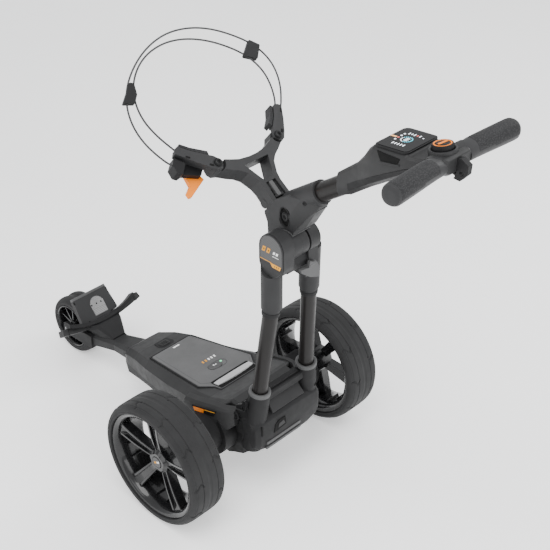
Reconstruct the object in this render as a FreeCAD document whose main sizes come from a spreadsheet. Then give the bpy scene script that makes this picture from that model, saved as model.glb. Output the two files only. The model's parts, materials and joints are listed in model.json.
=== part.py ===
"""Electric golf trolley: three wheels, folding frame, bag cradle, battery and T-handle.

Frame: +Z up, front wheel toward -Y, the trolley's left side toward +X.  The origin is on
the ground, in the middle of the footprint.  Millimetres throughout.
"""
import FreeCAD, Part
import math
import os

import Sketcher
from FreeCAD import Placement, Rotation, Vector

# --------------------------------------------------------------------------------------
# Driving dimensions
# --------------------------------------------------------------------------------------
SIZES = {
    # rear wheels and drive
    "track_half": 253.0,        # middle of a rear tyre from the centre line
    "tyre_width": 94.0,
    "wheel_radius": 150.0,
    "rim_lip_radius": 129.0,
    "rim_seat_radius": 120.0,
    "rim_barrel_radius": 113.0,
    "rim_width": 86.0,
    "hub_radius": 27.0,
    "spoke_half_width": 17.0,
    "axle_radius": 8.0,
    "axle_y": 78.0,
    "axle_reach": 262.0,
    "drum_radius": 62.0,
    "drum_half": 126.0,
    "pod_radius": 48.0,
    "pod_half": 200.0,
    "button_radius": 13.0,
    # front wheel
    "front_y": -550.0,
    "front_radius": 78.5,
    "front_width": 66.0,
    "front_rim_radius": 58.0,
    "front_axle_radius": 5.0,
    "fork_inner": 37.0,
    "fork_plate": 9.0,
    # chassis and battery
    "shell_wall": 3.0,
    "battery_lean": 8.9,
    "battery_y": -183.0,
    "battery_z": 184.0,
    "battery_depth": 82.0,
    "lid_depth": 14.0,
    "bay_gap": 1.2,
    # frame tubes and fold joints
    "tube_radius": 17.0,
    "tube_wall": 2.0,
    "socket_radius": 24.0,
    "socket_x": 74.0,
    "socket_y": 197.0,
    "socket_z": 297.0,
    "head_x": 57.5,
    "head_y": 216.0,
    "head_z": 515.0,
    "frame_pivot_y": 152.0,
    "frame_pivot_z": 222.0,
    "hinge_y": 228.5,
    "hinge_z": 663.0,
    "hinge_seam": 10.0,
    "barrel_radius": 31.0,
    "left_head_outer": 68.0,
    "right_head_inner": 15.0,
    "right_head_outer": 43.0,
    # handle
    "handle_y": 366.0,
    "handle_z": 850.0,
    "handle_slope": 35.0,
    "handle_radius": 20.0,
    "sleeve_radius": 22.5,
    "bar_y": 583.0,
    "bar_z": 979.0,
    "grip_radius": 20.5,
    "grip_half": 174.0,
    "grip_sweep": 4.0,
    "dial_radius": 20.0,
    "dial_y": 569.0,
    "dial_z": 992.0,
    "dial_lean": 10.0,
    "display_half": 44.0,
    "display_length": 70.0,
    "display_y": 491.0,
    "display_z": 981.0,
    "display_lean": 5.0,
    # bag supports
    "fork_depth": 38.0,
    "fork_knuckle": 9.9,
    "pivot_half": 85.0,
    "cradle_y": 98.0,
    "cradle_z": 825.0,
    "bag_lean": 141.0,
    "plate_half": 56.0,
    "plate_height": 76.0,
    "plate_y": -480.0,
    "plate_z": 165.0,
    "plate_lean": 129.6,
    "plate_thick": 14.0,
    "cord_radius": 2.0,
    "cord_depth": 11.0,
}

doc = FreeCAD.newDocument("golf_trolley")
sheet = doc.addObject("Spreadsheet::Sheet", "Sizes")
for row, (alias, value) in enumerate(SIZES.items(), start=1):
    sheet.set(f"A{row}", alias)
    sheet.set(f"B{row}", str(value))
    sheet.setAlias(f"B{row}", alias)
doc.recompute()

X_AXIS = Vector(1, 0, 0)
Y_AXIS = Vector(0, 1, 0)
Z_AXIS = Vector(0, 0, 1)
SIDES = {"left": 1, "right": -1}
nodes = []


# --------------------------------------------------------------------------------------
# Helpers
# --------------------------------------------------------------------------------------
def size(alias):
    """The value of one cell of the sheet."""
    return float(sheet.get(alias))


def cells(expression):
    """An expression over the sheet, with each alias written as a plain word."""
    words = []
    for word in expression.split():
        words.append(f"Sizes.{word}" if word in SIZES else word)
    return " ".join(words)


def keep(solid, label):
    """Names a finished sub-part and puts it on the list of those written out."""
    solid.Label = label
    nodes.append(solid)
    return solid


def place(x=0.0, y=0.0, z=0.0, axis=X_AXIS, angle=0.0):
    return Placement(Vector(x, y, z), Rotation(axis, angle))


def cylinder(name, radius, height, placement):
    """A cylinder from its placement's origin along its own Z."""
    solid = doc.addObject("Part::Cylinder", name)
    solid.setExpression("Radius", cells(radius))
    solid.setExpression("Height", cells(height))
    solid.Placement = placement
    return solid


def cross_cylinder(name, radius, start, length, y, z):
    """A cylinder along X that begins at x = start."""
    return cylinder(name, radius, length, place(start, y, z, Y_AXIS, 90))


def box(name, low, high, placement=None):
    """A box between two corners, in the frame of a placement."""
    solid = doc.addObject("Part::Box", name)
    solid.Length = high[0] - low[0]
    solid.Width = high[1] - low[1]
    solid.Height = high[2] - low[2]
    frame = placement or Placement()
    solid.Placement = frame.multiply(Placement(Vector(*low), Rotation()))
    return solid


def fuse(name, *parts):
    joined = doc.addObject("Part::MultiFuse", name)
    joined.Shapes = list(parts)
    joined.Refine = True
    return joined


def cut(name, base, *tools):
    taken = doc.addObject("Part::Cut", name)
    taken.Base = base
    taken.Tool = tools[0] if len(tools) == 1 else fuse(name + "_tools", *tools)
    return taken


def common(name, first, second):
    shared = doc.addObject("Part::Common", name)
    shared.Base = first
    shared.Tool = second
    return shared


def add_outline(sketch, points):
    """A closed run of straight lines through the points."""
    for start, end in zip(points, points[1:] + points[:1]):
        sketch.addGeometry(Part.LineSegment(Vector(*start, 0), Vector(*end, 0)), False)


def origin_plane(body, role):
    return next(item for item in body.Origin.OriginFeatures if item.Role == role)


def new_body(name, placement=None):
    body = doc.addObject("PartDesign::Body", name)
    body.Placement = placement or Placement()
    return body


def new_sketch(body, name, role="XY_Plane", offset=0.0):
    sketch = body.newObject("Sketcher::SketchObject", name)
    sketch.AttachmentSupport = (origin_plane(body, role), [""])
    sketch.MapMode = "FlatFace"
    sketch.AttachmentOffset = Placement(Vector(0, 0, offset), Rotation())
    return sketch


def pad(body, sketch, length, midplane=True, down=False):
    feature = body.newObject("PartDesign::Pad", sketch.Name + "_pad")
    feature.Profile = sketch
    feature.setExpression("Length", cells(length))
    feature.Midplane = midplane
    feature.Reversed = down
    return feature


def pocket(body, sketch, length, midplane=False, up=False):
    feature = body.newObject("PartDesign::Pocket", sketch.Name + "_pocket")
    feature.Profile = sketch
    feature.setExpression("Length", cells(length))
    feature.Midplane = midplane
    feature.Reversed = up
    return feature


def revolve(body, sketch, axis_role="V_Axis"):
    feature = body.newObject("PartDesign::Revolution", sketch.Name + "_turned")
    feature.Profile = sketch
    feature.ReferenceAxis = (sketch, [axis_role])
    feature.Angle = 360.0
    return feature


def around(body, feature, count):
    """Repeats a feature evenly about the body's own Z axis."""
    pattern = body.newObject("PartDesign::PolarPattern", feature.Name + "_ring")
    pattern.Originals = [feature]
    pattern.Axis = (origin_plane(body, "Z_Axis"), [""])
    pattern.Angle = 360.0
    pattern.Occurrences = count
    body.Tip = pattern
    return pattern


def prism(name, points, length, placement, midplane=True, rounding=0.0, down=False):
    """An outline in the placement's XY plane, padded along its Z and rounded at its corners."""
    body = new_body(name, placement)
    sketch = new_sketch(body, name + "_outline")
    add_outline(sketch, points)
    block = pad(body, sketch, length, midplane, down)
    if rounding:
        round_edges(body, block, rounding, upright)
    return body


def upright(edge):
    """True for a straight edge along the local Z axis."""
    ends = [v.Point for v in edge.Vertexes]
    if len(ends) != 2:
        return False
    run = ends[1] - ends[0]
    return run.Length > 0.1 and abs(run.z) / run.Length > 0.999


def round_edges(body, feature, radius, wanted):
    doc.recompute()
    picked = [f"Edge{i}" for i, e in enumerate(feature.Shape.Edges, start=1) if wanted(e)]
    rounded = body.newObject("PartDesign::Fillet", feature.Name + "_round")
    rounded.Base = (feature, picked)
    rounded.Radius = radius
    body.Tip = rounded
    return rounded


def side_frame(y, z, x=0.0):
    """A frame whose local X runs along Y and local Y up, so that pads run across the trolley."""
    turn = Rotation(Vector(0, 1, 0), Vector(0, 0, 1), Vector(1, 0, 0), "ZXY")
    return Placement(Vector(x, y, z), turn)


def offset_outline(points, gap):
    """A convex anticlockwise outline moved outward by a gap."""
    moved = []
    count = len(points)
    for i in range(count):
        before, here, after = points[i - 1], points[i], points[(i + 1) % count]
        first = unit_normal(before, here)
        second = unit_normal(here, after)
        scale = gap / (1 + first[0] * second[0] + first[1] * second[1])
        moved.append((here[0] + (first[0] + second[0]) * scale,
                      here[1] + (first[1] + second[1]) * scale))
    return moved


def unit_normal(start, end):
    """The outward normal of one side of an anticlockwise outline."""
    run = (end[0] - start[0], end[1] - start[1])
    length = math.hypot(*run)
    return (run[1] / length, -run[0] / length)


# Frames that several sub-parts share
battery_frame = place(0, size("battery_y"), size("battery_z"), X_AXIS, size("battery_lean"))
bag_frame = place(0, size("cradle_y"), size("cradle_z"), X_AXIS, size("bag_lean"))
strap_frame = bag_frame.multiply(Placement(Vector(0, 0, size("cord_depth")), Rotation()))
# local X along the bag frame's Y and local Y down the bag, so that pads run across the trolley
across_bag_frame = bag_frame.multiply(Placement(Vector(0, 0, 0), Rotation(
    Y_AXIS, Z_AXIS, X_AXIS, "ZXY")))
plate_frame = place(0, size("plate_y"), size("plate_z"), X_AXIS, size("plate_lean"))
handle_frame = place(0, size("handle_y"), size("handle_z"), X_AXIS,
                     size("handle_slope") - 90)
display_frame = place(0, size("display_y"), size("display_z"), X_AXIS,
                      size("display_lean"))
dial_frame = place(0, size("dial_y"), size("dial_z"), X_AXIS, size("dial_lean"))


def wheel_frame(x, y, z, side):
    """Local Z along the wheel's axle, pointing away from the trolley's middle."""
    return place(x, y, z, Y_AXIS, 90 * side)


def tube_frame(side):
    """The lower end of a frame tube at its socket rim, with local Z up the tube."""
    foot = Vector(side * size("socket_x"), size("socket_y"), size("socket_z"))
    head = Vector(side * size("head_x"), size("head_y"), size("head_z"))
    return Placement(foot, Rotation(Z_AXIS, head - foot))


# --------------------------------------------------------------------------------------
# Rear wheels, axle and drive
# --------------------------------------------------------------------------------------
def turned(name, points, placement):
    """A ring turned about the placement's Z from (radius, height) points."""
    body = new_body(name, placement)
    sketch = new_sketch(body, name + "_profile", "XZ_Plane")
    add_outline(sketch, points)
    revolve(body, sketch)
    return body


def rear_tyre(name, side):
    wide = size("tyre_width") / 2
    outer = size("wheel_radius")
    seat = size("rim_seat_radius")
    lip = size("rim_lip_radius")
    bead = size("rim_width") / 2 - 5
    half = [(seat, bead), (lip + 1, bead), (lip + 1, wide - 1), (lip + 4, wide),
            (outer - 6, wide - 3), (outer - 2, wide - 9), (outer, wide - 18)]
    points = half + [(r, -z) for r, z in reversed(half)]
    middle = side * size("track_half")
    return turned(name, points, wheel_frame(middle, size("axle_y"), outer, side))


def rear_rim(name, side):
    """A deep-dish wheel: barrel, lips, a coned web cut into five ribbed spokes, and a hub."""
    half = size("rim_width") / 2
    bead = half - 5
    seat = size("rim_seat_radius") - 0.05
    lip = size("rim_lip_radius")
    barrel = size("rim_barrel_radius")
    hub = size("hub_radius")
    bore = size("axle_radius") + 0.05
    profile = [(bore, -34), (hub, -34), (hub, -6), (barrel, 12), (barrel, -half),
               (lip, -half), (lip, -bead), (seat, -bead), (seat, bead), (lip, bead),
               (lip, half), (barrel + 1, half), (barrel, 30), (hub, 14), (hub, 22),
               (size("button_radius") + 0.4, 22), (size("button_radius") + 0.4, 8), (bore, 8)]
    middle = side * size("track_half")
    frame = wheel_frame(middle, size("axle_y"), size("wheel_radius"), side)
    body = turned(name, profile, frame)
    window = new_sketch(body, name + "_window")
    add_outline(window, spoke_window(hub + 5, barrel - 4))
    opening = pocket(body, window, "rim_width", midplane=True)
    around(body, opening, 5)
    channel = new_sketch(body, name + "_channel", offset=60)
    add_outline(channel, spoke_channel(hub + 6, barrel - 10))
    groove = pocket(body, channel, "39")
    around(body, groove, 5)
    return body


def spoke_window(inner, outer):
    """The opening between two spokes, centred on local +X, with its outer side an arc's chords."""
    half = math.radians(36)
    width = size("spoke_half_width")
    low = half - math.asin(width * 0.72 / inner)
    high = half - math.asin(width / outer)
    steps = [high * k / 3 for k in (-3, -2, -1, 0, 1, 2, 3)]
    rim = [(outer * math.cos(a), outer * math.sin(a)) for a in steps]
    foot = [(inner * math.cos(a), inner * math.sin(a)) for a in (low, -low)]
    return rim + foot


def spoke_channel(inner, outer):
    """The recess between the two ribs of a spoke, along the spoke at 36 degrees."""
    turn = math.radians(36)
    near = size("spoke_half_width") * 0.3
    far = size("spoke_half_width") * 0.5
    corners = [(inner, -near), (outer, -far), (outer, far), (inner, near)]
    return [(r * math.cos(turn) - w * math.sin(turn), r * math.sin(turn) + w * math.cos(turn))
            for r, w in corners]


def rear_wheels():
    for word, side in SIDES.items():
        keep(rear_tyre(f"tyre_{word}", side), f"rear_tyre_{word}")
        keep(rear_rim(f"rim_{word}", side), f"rear_rim_{word}")
        frame = wheel_frame(side * (size("axle_reach") + 3.6), size("axle_y"),
                            size("wheel_radius"), side)
        button = cylinder(f"button_{word}", "button_radius", "11.5", frame)
        keep(button, f"wheel_release_{word}")


def drive():
    y, z = size("axle_y"), size("wheel_radius")
    axle = cross_cylinder("axle_bar", "axle_radius", -size("axle_reach"), "2 * axle_reach",
                          y, z)
    keep(axle, "drive_axle")
    drum = cross_cylinder("drum", "drum_radius", -size("drum_half"), "2 * drum_half", y, z)
    pod = cross_cylinder("pod", "pod_radius", -size("pod_half"), "2 * pod_half", y, z)
    outer = fuse("housing_outer", drum, pod)
    hollow = cross_cylinder("drum_hollow", "drum_radius - 4", -size("drum_half") + 4,
                            "2 * drum_half - 8", y, z)
    bore = cross_cylinder("pod_hollow", "pod_radius - 4", -size("pod_half") + 8,
                          "2 * pod_half - 16", y, z)
    through = cross_cylinder("housing_bore", "axle_radius + 7", -size("pod_half") - 1,
                             "2 * pod_half + 2", y, z)
    keep(cut("housing", outer, hollow, bore, through), "axle_housing")
    motor = cross_cylinder("motor_can", "22", -80, "125", y - 32, z + 2)
    gear_outer = cross_cylinder("gear_outer", "56", 38, "34", y, z)
    gear_bore = cross_cylinder("gear_bore", "axle_radius + 0.4", 37, "36", y, z)
    keep(cut("gear_unit", fuse("gear_parts", gear_outer, motor), gear_bore), "gear_motor")
    rings = []
    for word, side in SIDES.items():
        start = size("pod_half") - 8 if side > 0 else -size("pod_half")
        race = cross_cylinder(f"race_{word}", "axle_radius + 7", start, "8", y, z)
        hole = cross_cylinder(f"race_hole_{word}", "axle_radius + 0.05", start - 1, "10", y, z)
        rings.append(cut(f"bearing_{word}", race, hole))
    keep(fuse("bearings", *rings), "axle_bearings")


# --------------------------------------------------------------------------------------
# Front wheel, neck and bag base
# --------------------------------------------------------------------------------------
def front_wheel():
    y, z = size("front_y"), size("front_radius")
    frame = wheel_frame(0, y, z, 1)
    half = size("front_width") / 2
    rim = size("front_rim_radius")
    tread = [(rim, half - 4), (rim + 3, half), (z - 8, half), (z - 2, half - 6),
             (z, half - 16)]
    keep(turned("front_tread", tread + [(r, -w) for r, w in reversed(tread)], frame),
         "front_tyre")
    bore = size("front_axle_radius") + 0.05
    profile = [(bore, -31), (14, -31), (14, -5), (46, -5), (46, -half + 3), (rim - 0.05, -half + 3),
               (rim - 0.05, half - 3), (46, half - 3), (46, 5), (14, 5), (14, 31), (bore, 31)]
    body = turned("front_disc", profile, frame)
    window = new_sketch(body, "front_window")
    add_outline(window, [(22, -6), (40, -14), (42, 0), (40, 14), (22, 6)])
    opening = pocket(body, window, "front_width", midplane=True)
    around(body, opening, 6)
    keep(body, "front_rim")
    reach = size("fork_inner") + size("fork_plate") + 3
    pin = cross_cylinder("front_pin", "front_axle_radius", -reach, str(2 * reach), y, z)
    keep(pin, "front_axle")


def loft(name, sections):
    """A solid with flat facets through outlines in (x, z) at several y stations."""
    profiles = []
    for index, (y, points) in enumerate(sections):
        sketch = doc.addObject("Sketcher::SketchObject", f"{name}_station_{index}")
        sketch.Placement = place(0, y, 0, X_AXIS, 90)
        add_outline(sketch, points)
        profiles.append(sketch)
    solid = doc.addObject("Part::Loft", name)
    solid.Sections = profiles
    solid.Solid = True
    solid.Ruled = True
    return solid


def eight_sided(foot_x, foot_z, low_x, low_z, shoulder_x, shoulder_z, deck_x, deck_z):
    """A symmetric outline in (x, z): foot, lower side, shoulder and deck."""
    half = [(foot_x, foot_z), (low_x, low_z), (shoulder_x, shoulder_z), (deck_x, deck_z)]
    return half + [(-x, z) for x, z in reversed(half)]


def neck_and_fork():
    rear, middle, crown = -308.5, -380, -448
    stations = [
        (rear, eight_sided(28, 86, 35, 94, 35, 116, 26, 128)),
        (middle, eight_sided(20, 76, 26, 82, 26, 100, 19, 109)),
        (crown, eight_sided(32, 66, 40, 72, 40, 95, 32, 102)),
    ]
    neck = keep(loft("neck", stations), "neck_beam")
    inner, plate = size("fork_inner"), size("fork_plate")
    y, z = size("front_y"), size("front_radius")
    bridge = box("fork_bridge", (-inner - plate, crown - 18, 64), (inner + plate, crown, 101))
    bridge_front = crown - 18
    arms = []
    for word, side in SIDES.items():
        points = [(y - 15, z - 11), (y - 6, z - 17), (y + 30, z - 18), (bridge_front + 1, 64),
                  (bridge_front + 1, 101), (y + 40, z + 16), (y - 6, z + 17), (y - 15, z + 11)]
        centre = side * (inner + plate / 2)
        arm = prism(f"fork_arm_{word}", points, "fork_plate", side_frame(0, 0, centre),
                    rounding=3)
        arms.append(arm)
    solid = fuse("front_fork_solid", bridge, *arms)
    bore = cross_cylinder("fork_bore", "front_axle_radius + 0.02", -60, "120", y, z)
    keep(cut("front_fork_bored", solid, bore), "front_fork")
    return neck


def bag_base(neck):
    half, high = size("plate_half"), size("plate_height") / 2
    points = [(-half - 2, -high + 7.1), (-28, -high + 1.8), (28, -high + 1.8),
              (half + 2, -high + 7.1), (half - 4, high), (-half + 4, high)]
    keep(prism("plate", points, "plate_thick", plate_frame, midplane=False, rounding=6),
         "bag_base_plate")
    stations = [
        (-388, eight_sided(18, 106, 20, 108, 20, 110, 17, 112)),
        (-424, eight_sided(28, 103, 32, 106, 38, 134, 34, 145)),
        (-450, eight_sided(30, 102.4, 36, 106, 52, 122, 50, 138)),
    ]
    bracket = loft("bracket", stations)
    band = cradle_band("cradle_band")
    keep(cut("cradle_solid", fuse("cradle_parts", band, bracket),
             box("cradle_trim", (-90, -60, 0.0), (90, size("plate_height") / 2, 60), plate_frame),
             neck,
             cross_cylinder("cradle_wheel_room", "front_radius + 5", -60, "120",
                            size("front_y"), size("front_radius"))), "lower_cradle")
    tips = []
    for word, side in SIDES.items():
        block = box(f"tip_{word}", (-7, -9, -12), (9, 9, 12), tip_frame(side))
        tips.append(block)
    keep(fuse("tips", *tips), "cradle_tips")


CRADLE_RADIUS = 250.0
CRADLE_WIDE = 24.0
CRADLE_THICK = 9.0
CRADLE_REACH = 24.5


def cradle_point(radius, degrees):
    """A point of the lower cradle's arc, in the bag plate's frame."""
    angle = math.radians(degrees)
    foot = -size("plate_height") / 2 - 0.1
    return (radius * math.sin(angle), foot + CRADLE_RADIUS - radius * math.cos(angle))


def cradle_band(name):
    """A curved band under the foot of the plate, reaching out to both sides."""
    body = new_body(name, plate_frame)
    sketch = new_sketch(body, name + "_arc")
    ends = []
    for radius in (CRADLE_RADIUS, CRADLE_RADIUS + CRADLE_THICK):
        spots = [Vector(*cradle_point(radius, a), 0)
                 for a in (-CRADLE_REACH, 0, CRADLE_REACH)]
        sketch.addGeometry(Part.Arc(*spots), False)
        ends.append((spots[0], spots[2]))
    for k in (0, 1):
        sketch.addGeometry(Part.LineSegment(ends[0][k], ends[1][k]), False)
    pad(body, sketch, str(CRADLE_WIDE), midplane=False, down=True)
    return body


def tip_frame(side):
    """The end of one cradle arm, with local Y along the arc's radius."""
    angle = side * (CRADLE_REACH + 1.61)
    x, y = cradle_point(CRADLE_RADIUS + CRADLE_THICK / 2, angle)
    turn = angle if side > 0 else angle + 180
    return plate_frame.multiply(Placement(Vector(x, y, -CRADLE_WIDE / 2), Rotation(Z_AXIS, turn)))


# --------------------------------------------------------------------------------------
# Chassis and battery
# --------------------------------------------------------------------------------------
# y, then (x, z) of the foot, lower side, shoulder and deck edge
CHASSIS_STATIONS = [
    (-308, 36, 84, 46, 96, 46, 120, 36, 131),
    (-284, 44, 68, 58, 84, 61, 140, 46, 152),
    (-234, 52, 74, 68, 96, 74, 157, 60, 170),
    (-183, 58, 84, 80, 108, 86, 164, 72, 181),
    (-80, 72, 90, 98, 118, 103, 180, 82, 197),
    (12, 84, 88, 112, 122, 117, 202, 96, 212),
    (64, 90, 84, 118, 124, 121, 216, 98, 222),
    (112, 90, 84, 114, 126, 115, 232, 96, 240),
    (124, 86, 88, 90, 128, 90, 236, 84, 243),
    (168, 84, 106, 90, 134, 90, 232, 82, 240),
]
SPLIT_FRONT = (-340, 104)
SPLIT_REAR = (200, 168)


# Notch in the deck that each socket sweeps through as the frame folds, in (y, z)
FOLD_ROOM = [(143, 246), (148, 232), (156, 226.5), (172, 224), (172, 246)]


def chassis_sections(inset):
    """The chassis stations, moved inward by a wall thickness."""
    sections = []
    last = len(CHASSIS_STATIONS) - 1
    for index, (y, foot_x, foot_z, low_x, low_z, side_x, side_z, deck_x, deck_z) in enumerate(
            CHASSIS_STATIONS):
        if index == 0:
            y += inset
        if index == last:
            y -= inset
        outline = eight_sided(foot_x - inset, foot_z + inset, low_x - inset, low_z + inset / 2,
                              side_x - inset, side_z - inset / 2, deck_x - inset, deck_z - inset)
        sections.append((y, outline))
    return sections


BATTERY_OUTLINE = [(-62, 0), (62, 0), (84, 195), (62, 226), (60, 246), (-60, 246),
                   (-62, 226), (-84, 195)]


def chassis():
    outer, inner = [], []
    for word, side in SIDES.items():
        foot = tube_frame(side).multiply(Placement(Vector(0, 0, -200), Rotation()))
        outer.append(cylinder(f"socket_room_{word}", "socket_radius + 2", "240", foot))
        inner.append(cylinder(f"socket_wall_{word}", "socket_radius + 2 + shell_wall", "240",
                              foot))
    skin = cut("hull_skin", loft("hull_outer", chassis_sections(0)), *outer)
    hollow = cut("hull_hollow", loft("hull_inner", chassis_sections(size("shell_wall"))), *inner)
    hull = cut("hull", skin, hollow)
    split = [SPLIT_FRONT, (SPLIT_FRONT[0], 20), (SPLIT_REAR[0], 20), SPLIT_REAR]
    below = prism("below_split", split, "400", side_frame(0, 0))
    y, z = size("axle_y"), size("wheel_radius")
    well = cross_cylinder("drum_well", "drum_radius + 0.5", -140, "280", y, z)
    bay = prism("bay", offset_outline(BATTERY_OUTLINE, size("bay_gap") + 3.1), "240",
                battery_frame)
    fold_room = [prism(f"fold_room_{word}", FOLD_ROOM, "40", side_frame(0, 0, side * 78))
                 for word, side in SIDES.items()]
    keep(cut("shell_upper", hull, below, well, bay, *fold_room), "chassis_shell")
    keep(cut("shell_lower", common("hull_below", hull, below), well), "chassis_base")
    wall = prism("tray_outer", offset_outline(BATTERY_OUTLINE, size("bay_gap") + 3.0),
                 "battery_depth + 2", battery_frame, midplane=False, down=True)
    space = prism("tray_space", offset_outline(BATTERY_OUTLINE, size("bay_gap")),
                  "battery_depth + 0.3", battery_frame, midplane=False, down=True)
    over_drum = cross_cylinder("tray_drum", "drum_radius + 0.5", -140, "280", y, z)
    keep(cut("tray", wall, space, over_drum), "battery_tray")


def battery():
    case = prism("case", BATTERY_OUTLINE, "battery_depth - lid_depth - 2",
                 battery_frame.multiply(Placement(Vector(0, 0, -size("lid_depth")), Rotation())),
                 midplane=False, down=True, rounding=6)
    over_drum = cross_cylinder("case_drum", "drum_radius + 4", -140, "280", size("axle_y"),
                               size("wheel_radius"))
    keep(cut("case_cut", case, over_drum), "battery_case")
    lid = prism("lid", BATTERY_OUTLINE, "lid_depth", battery_frame, midplane=False, down=True,
                rounding=6)
    grip_well = new_sketch(lid, "grip_well", offset=0)
    add_outline(grip_well, [(-55, 209), (55, 209), (55, 241), (-55, 241)])
    pocket(lid, grip_well, "lid_depth - 3")
    button_well = new_sketch(lid, "button_well", offset=0)
    add_oval(button_well, 0, 160, 19.3, 13.3)
    pocket(lid, button_well, "5")
    near_drum = cross_cylinder("lid_drum", "drum_radius + 1", -140, "280", size("axle_y"),
                               size("wheel_radius"))
    keep(cut("lid_cut", lid, near_drum), "battery_lid")
    bar = box("bar", (-54.9, 211, -8), (54.9, 227, -0.5), battery_frame)
    keep(bar, "battery_handle")
    button = new_body("power", battery_frame)
    face = new_sketch(button, "power_face", offset=-2.4)
    add_oval(face, 0, 160, 19, 13)
    pad(button, face, "3.2", midplane=False)
    keep(button, "power_button")


def add_oval(sketch, x, y, half_long, half_wide):
    """A closed stadium, long across the trolley."""
    reach = half_long - half_wide
    right, left = Vector(x + reach, y, 0), Vector(x - reach, y, 0)
    rise = Vector(0, half_wide, 0)
    out = Vector(half_wide, 0, 0)
    sketch.addGeometry(Part.Arc(right - rise, right + out, right + rise), False)
    sketch.addGeometry(Part.LineSegment(right + rise, left + rise), False)
    sketch.addGeometry(Part.Arc(left + rise, left - out, left - rise), False)
    sketch.addGeometry(Part.LineSegment(left - rise, right - rise), False)


# --------------------------------------------------------------------------------------
# Lower frame: socket casting, tubes and hinge heads
# --------------------------------------------------------------------------------------
def socket_casting():
    parts, bores = [], []
    pivot_y, pivot_z = size("frame_pivot_y"), size("frame_pivot_z")
    for word, side in SIDES.items():
        frame = tube_frame(side)
        down = frame.multiply(Placement(Vector(0, 0, -166), Rotation()))
        parts.append(cylinder(f"socket_{word}", "socket_radius", "170", down))
        inside = frame.multiply(Placement(Vector(0, 0, -150), Rotation()))
        bores.append(cylinder(f"socket_bore_{word}", "tube_radius + 0.05", "170", inside))
        ear = [(pivot_y - 12, pivot_z - 12), (pivot_y + 12, pivot_z - 16), (200, 176),
               (200, 276), (pivot_y + 14, pivot_z + 18), (pivot_y - 12, pivot_z + 12)]
        parts.append(prism(f"ear_{word}", ear, "8", side_frame(0, 0, side * 95.5), rounding=5))
        bores.append(cross_cylinder(f"ear_bore_{word}", "4.05", side * 95.5 - 10, "20",
                                    pivot_y, pivot_z))
    parts.append(cross_cylinder("catch_stub", "3.5", 90, "21", *CATCH_PIVOT))
    parts.append(box("lower_rail", (-66, 184, 126), (66, 214, 150)))
    parts.append(box("upper_rail", (-58, 178, 264), (58, 206, 286)))
    keep(cut("socket_solid", fuse("socket_parts", *parts), *bores), "socket_casting")


def rear_panel():
    body = new_body("panel", side_frame(0, 0))
    sketch = new_sketch(body, "panel_side")
    add_outline(sketch, [(186, 150.1), (204, 150.1), (206, 196), (202, 263.9), (186, 263.9)])
    pad(body, sketch, "2 * 49", midplane=True)
    keep(body, "rear_panel")


def stadium(name, x, length, low, high, y, radius):
    """A plate across the trolley whose outline is an upright stadium, between two heights."""
    turn = Placement(Vector(0, 0, 0), Rotation(Z_AXIS, 90))
    body = new_body(name, side_frame(y, (low + high) / 2, x).multiply(turn))
    sketch = new_sketch(body, name + "_outline")
    add_oval(sketch, 0, 0, (high - low) / 2, radius)
    pad(body, sketch, length, midplane=False)
    return body


def frame_tubes():
    for word, side in SIDES.items():
        frame = tube_frame(side)
        foot = frame.multiply(Placement(Vector(0, 0, -148), Rotation()))
        outer = cylinder(f"tube_outer_{word}", "tube_radius", "413", foot)
        inner = cylinder(f"tube_inner_{word}", "tube_radius - tube_wall", "413", foot)
        keep(cut(f"tube_{word}", outer, inner), f"frame_tube_{word}")


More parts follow.
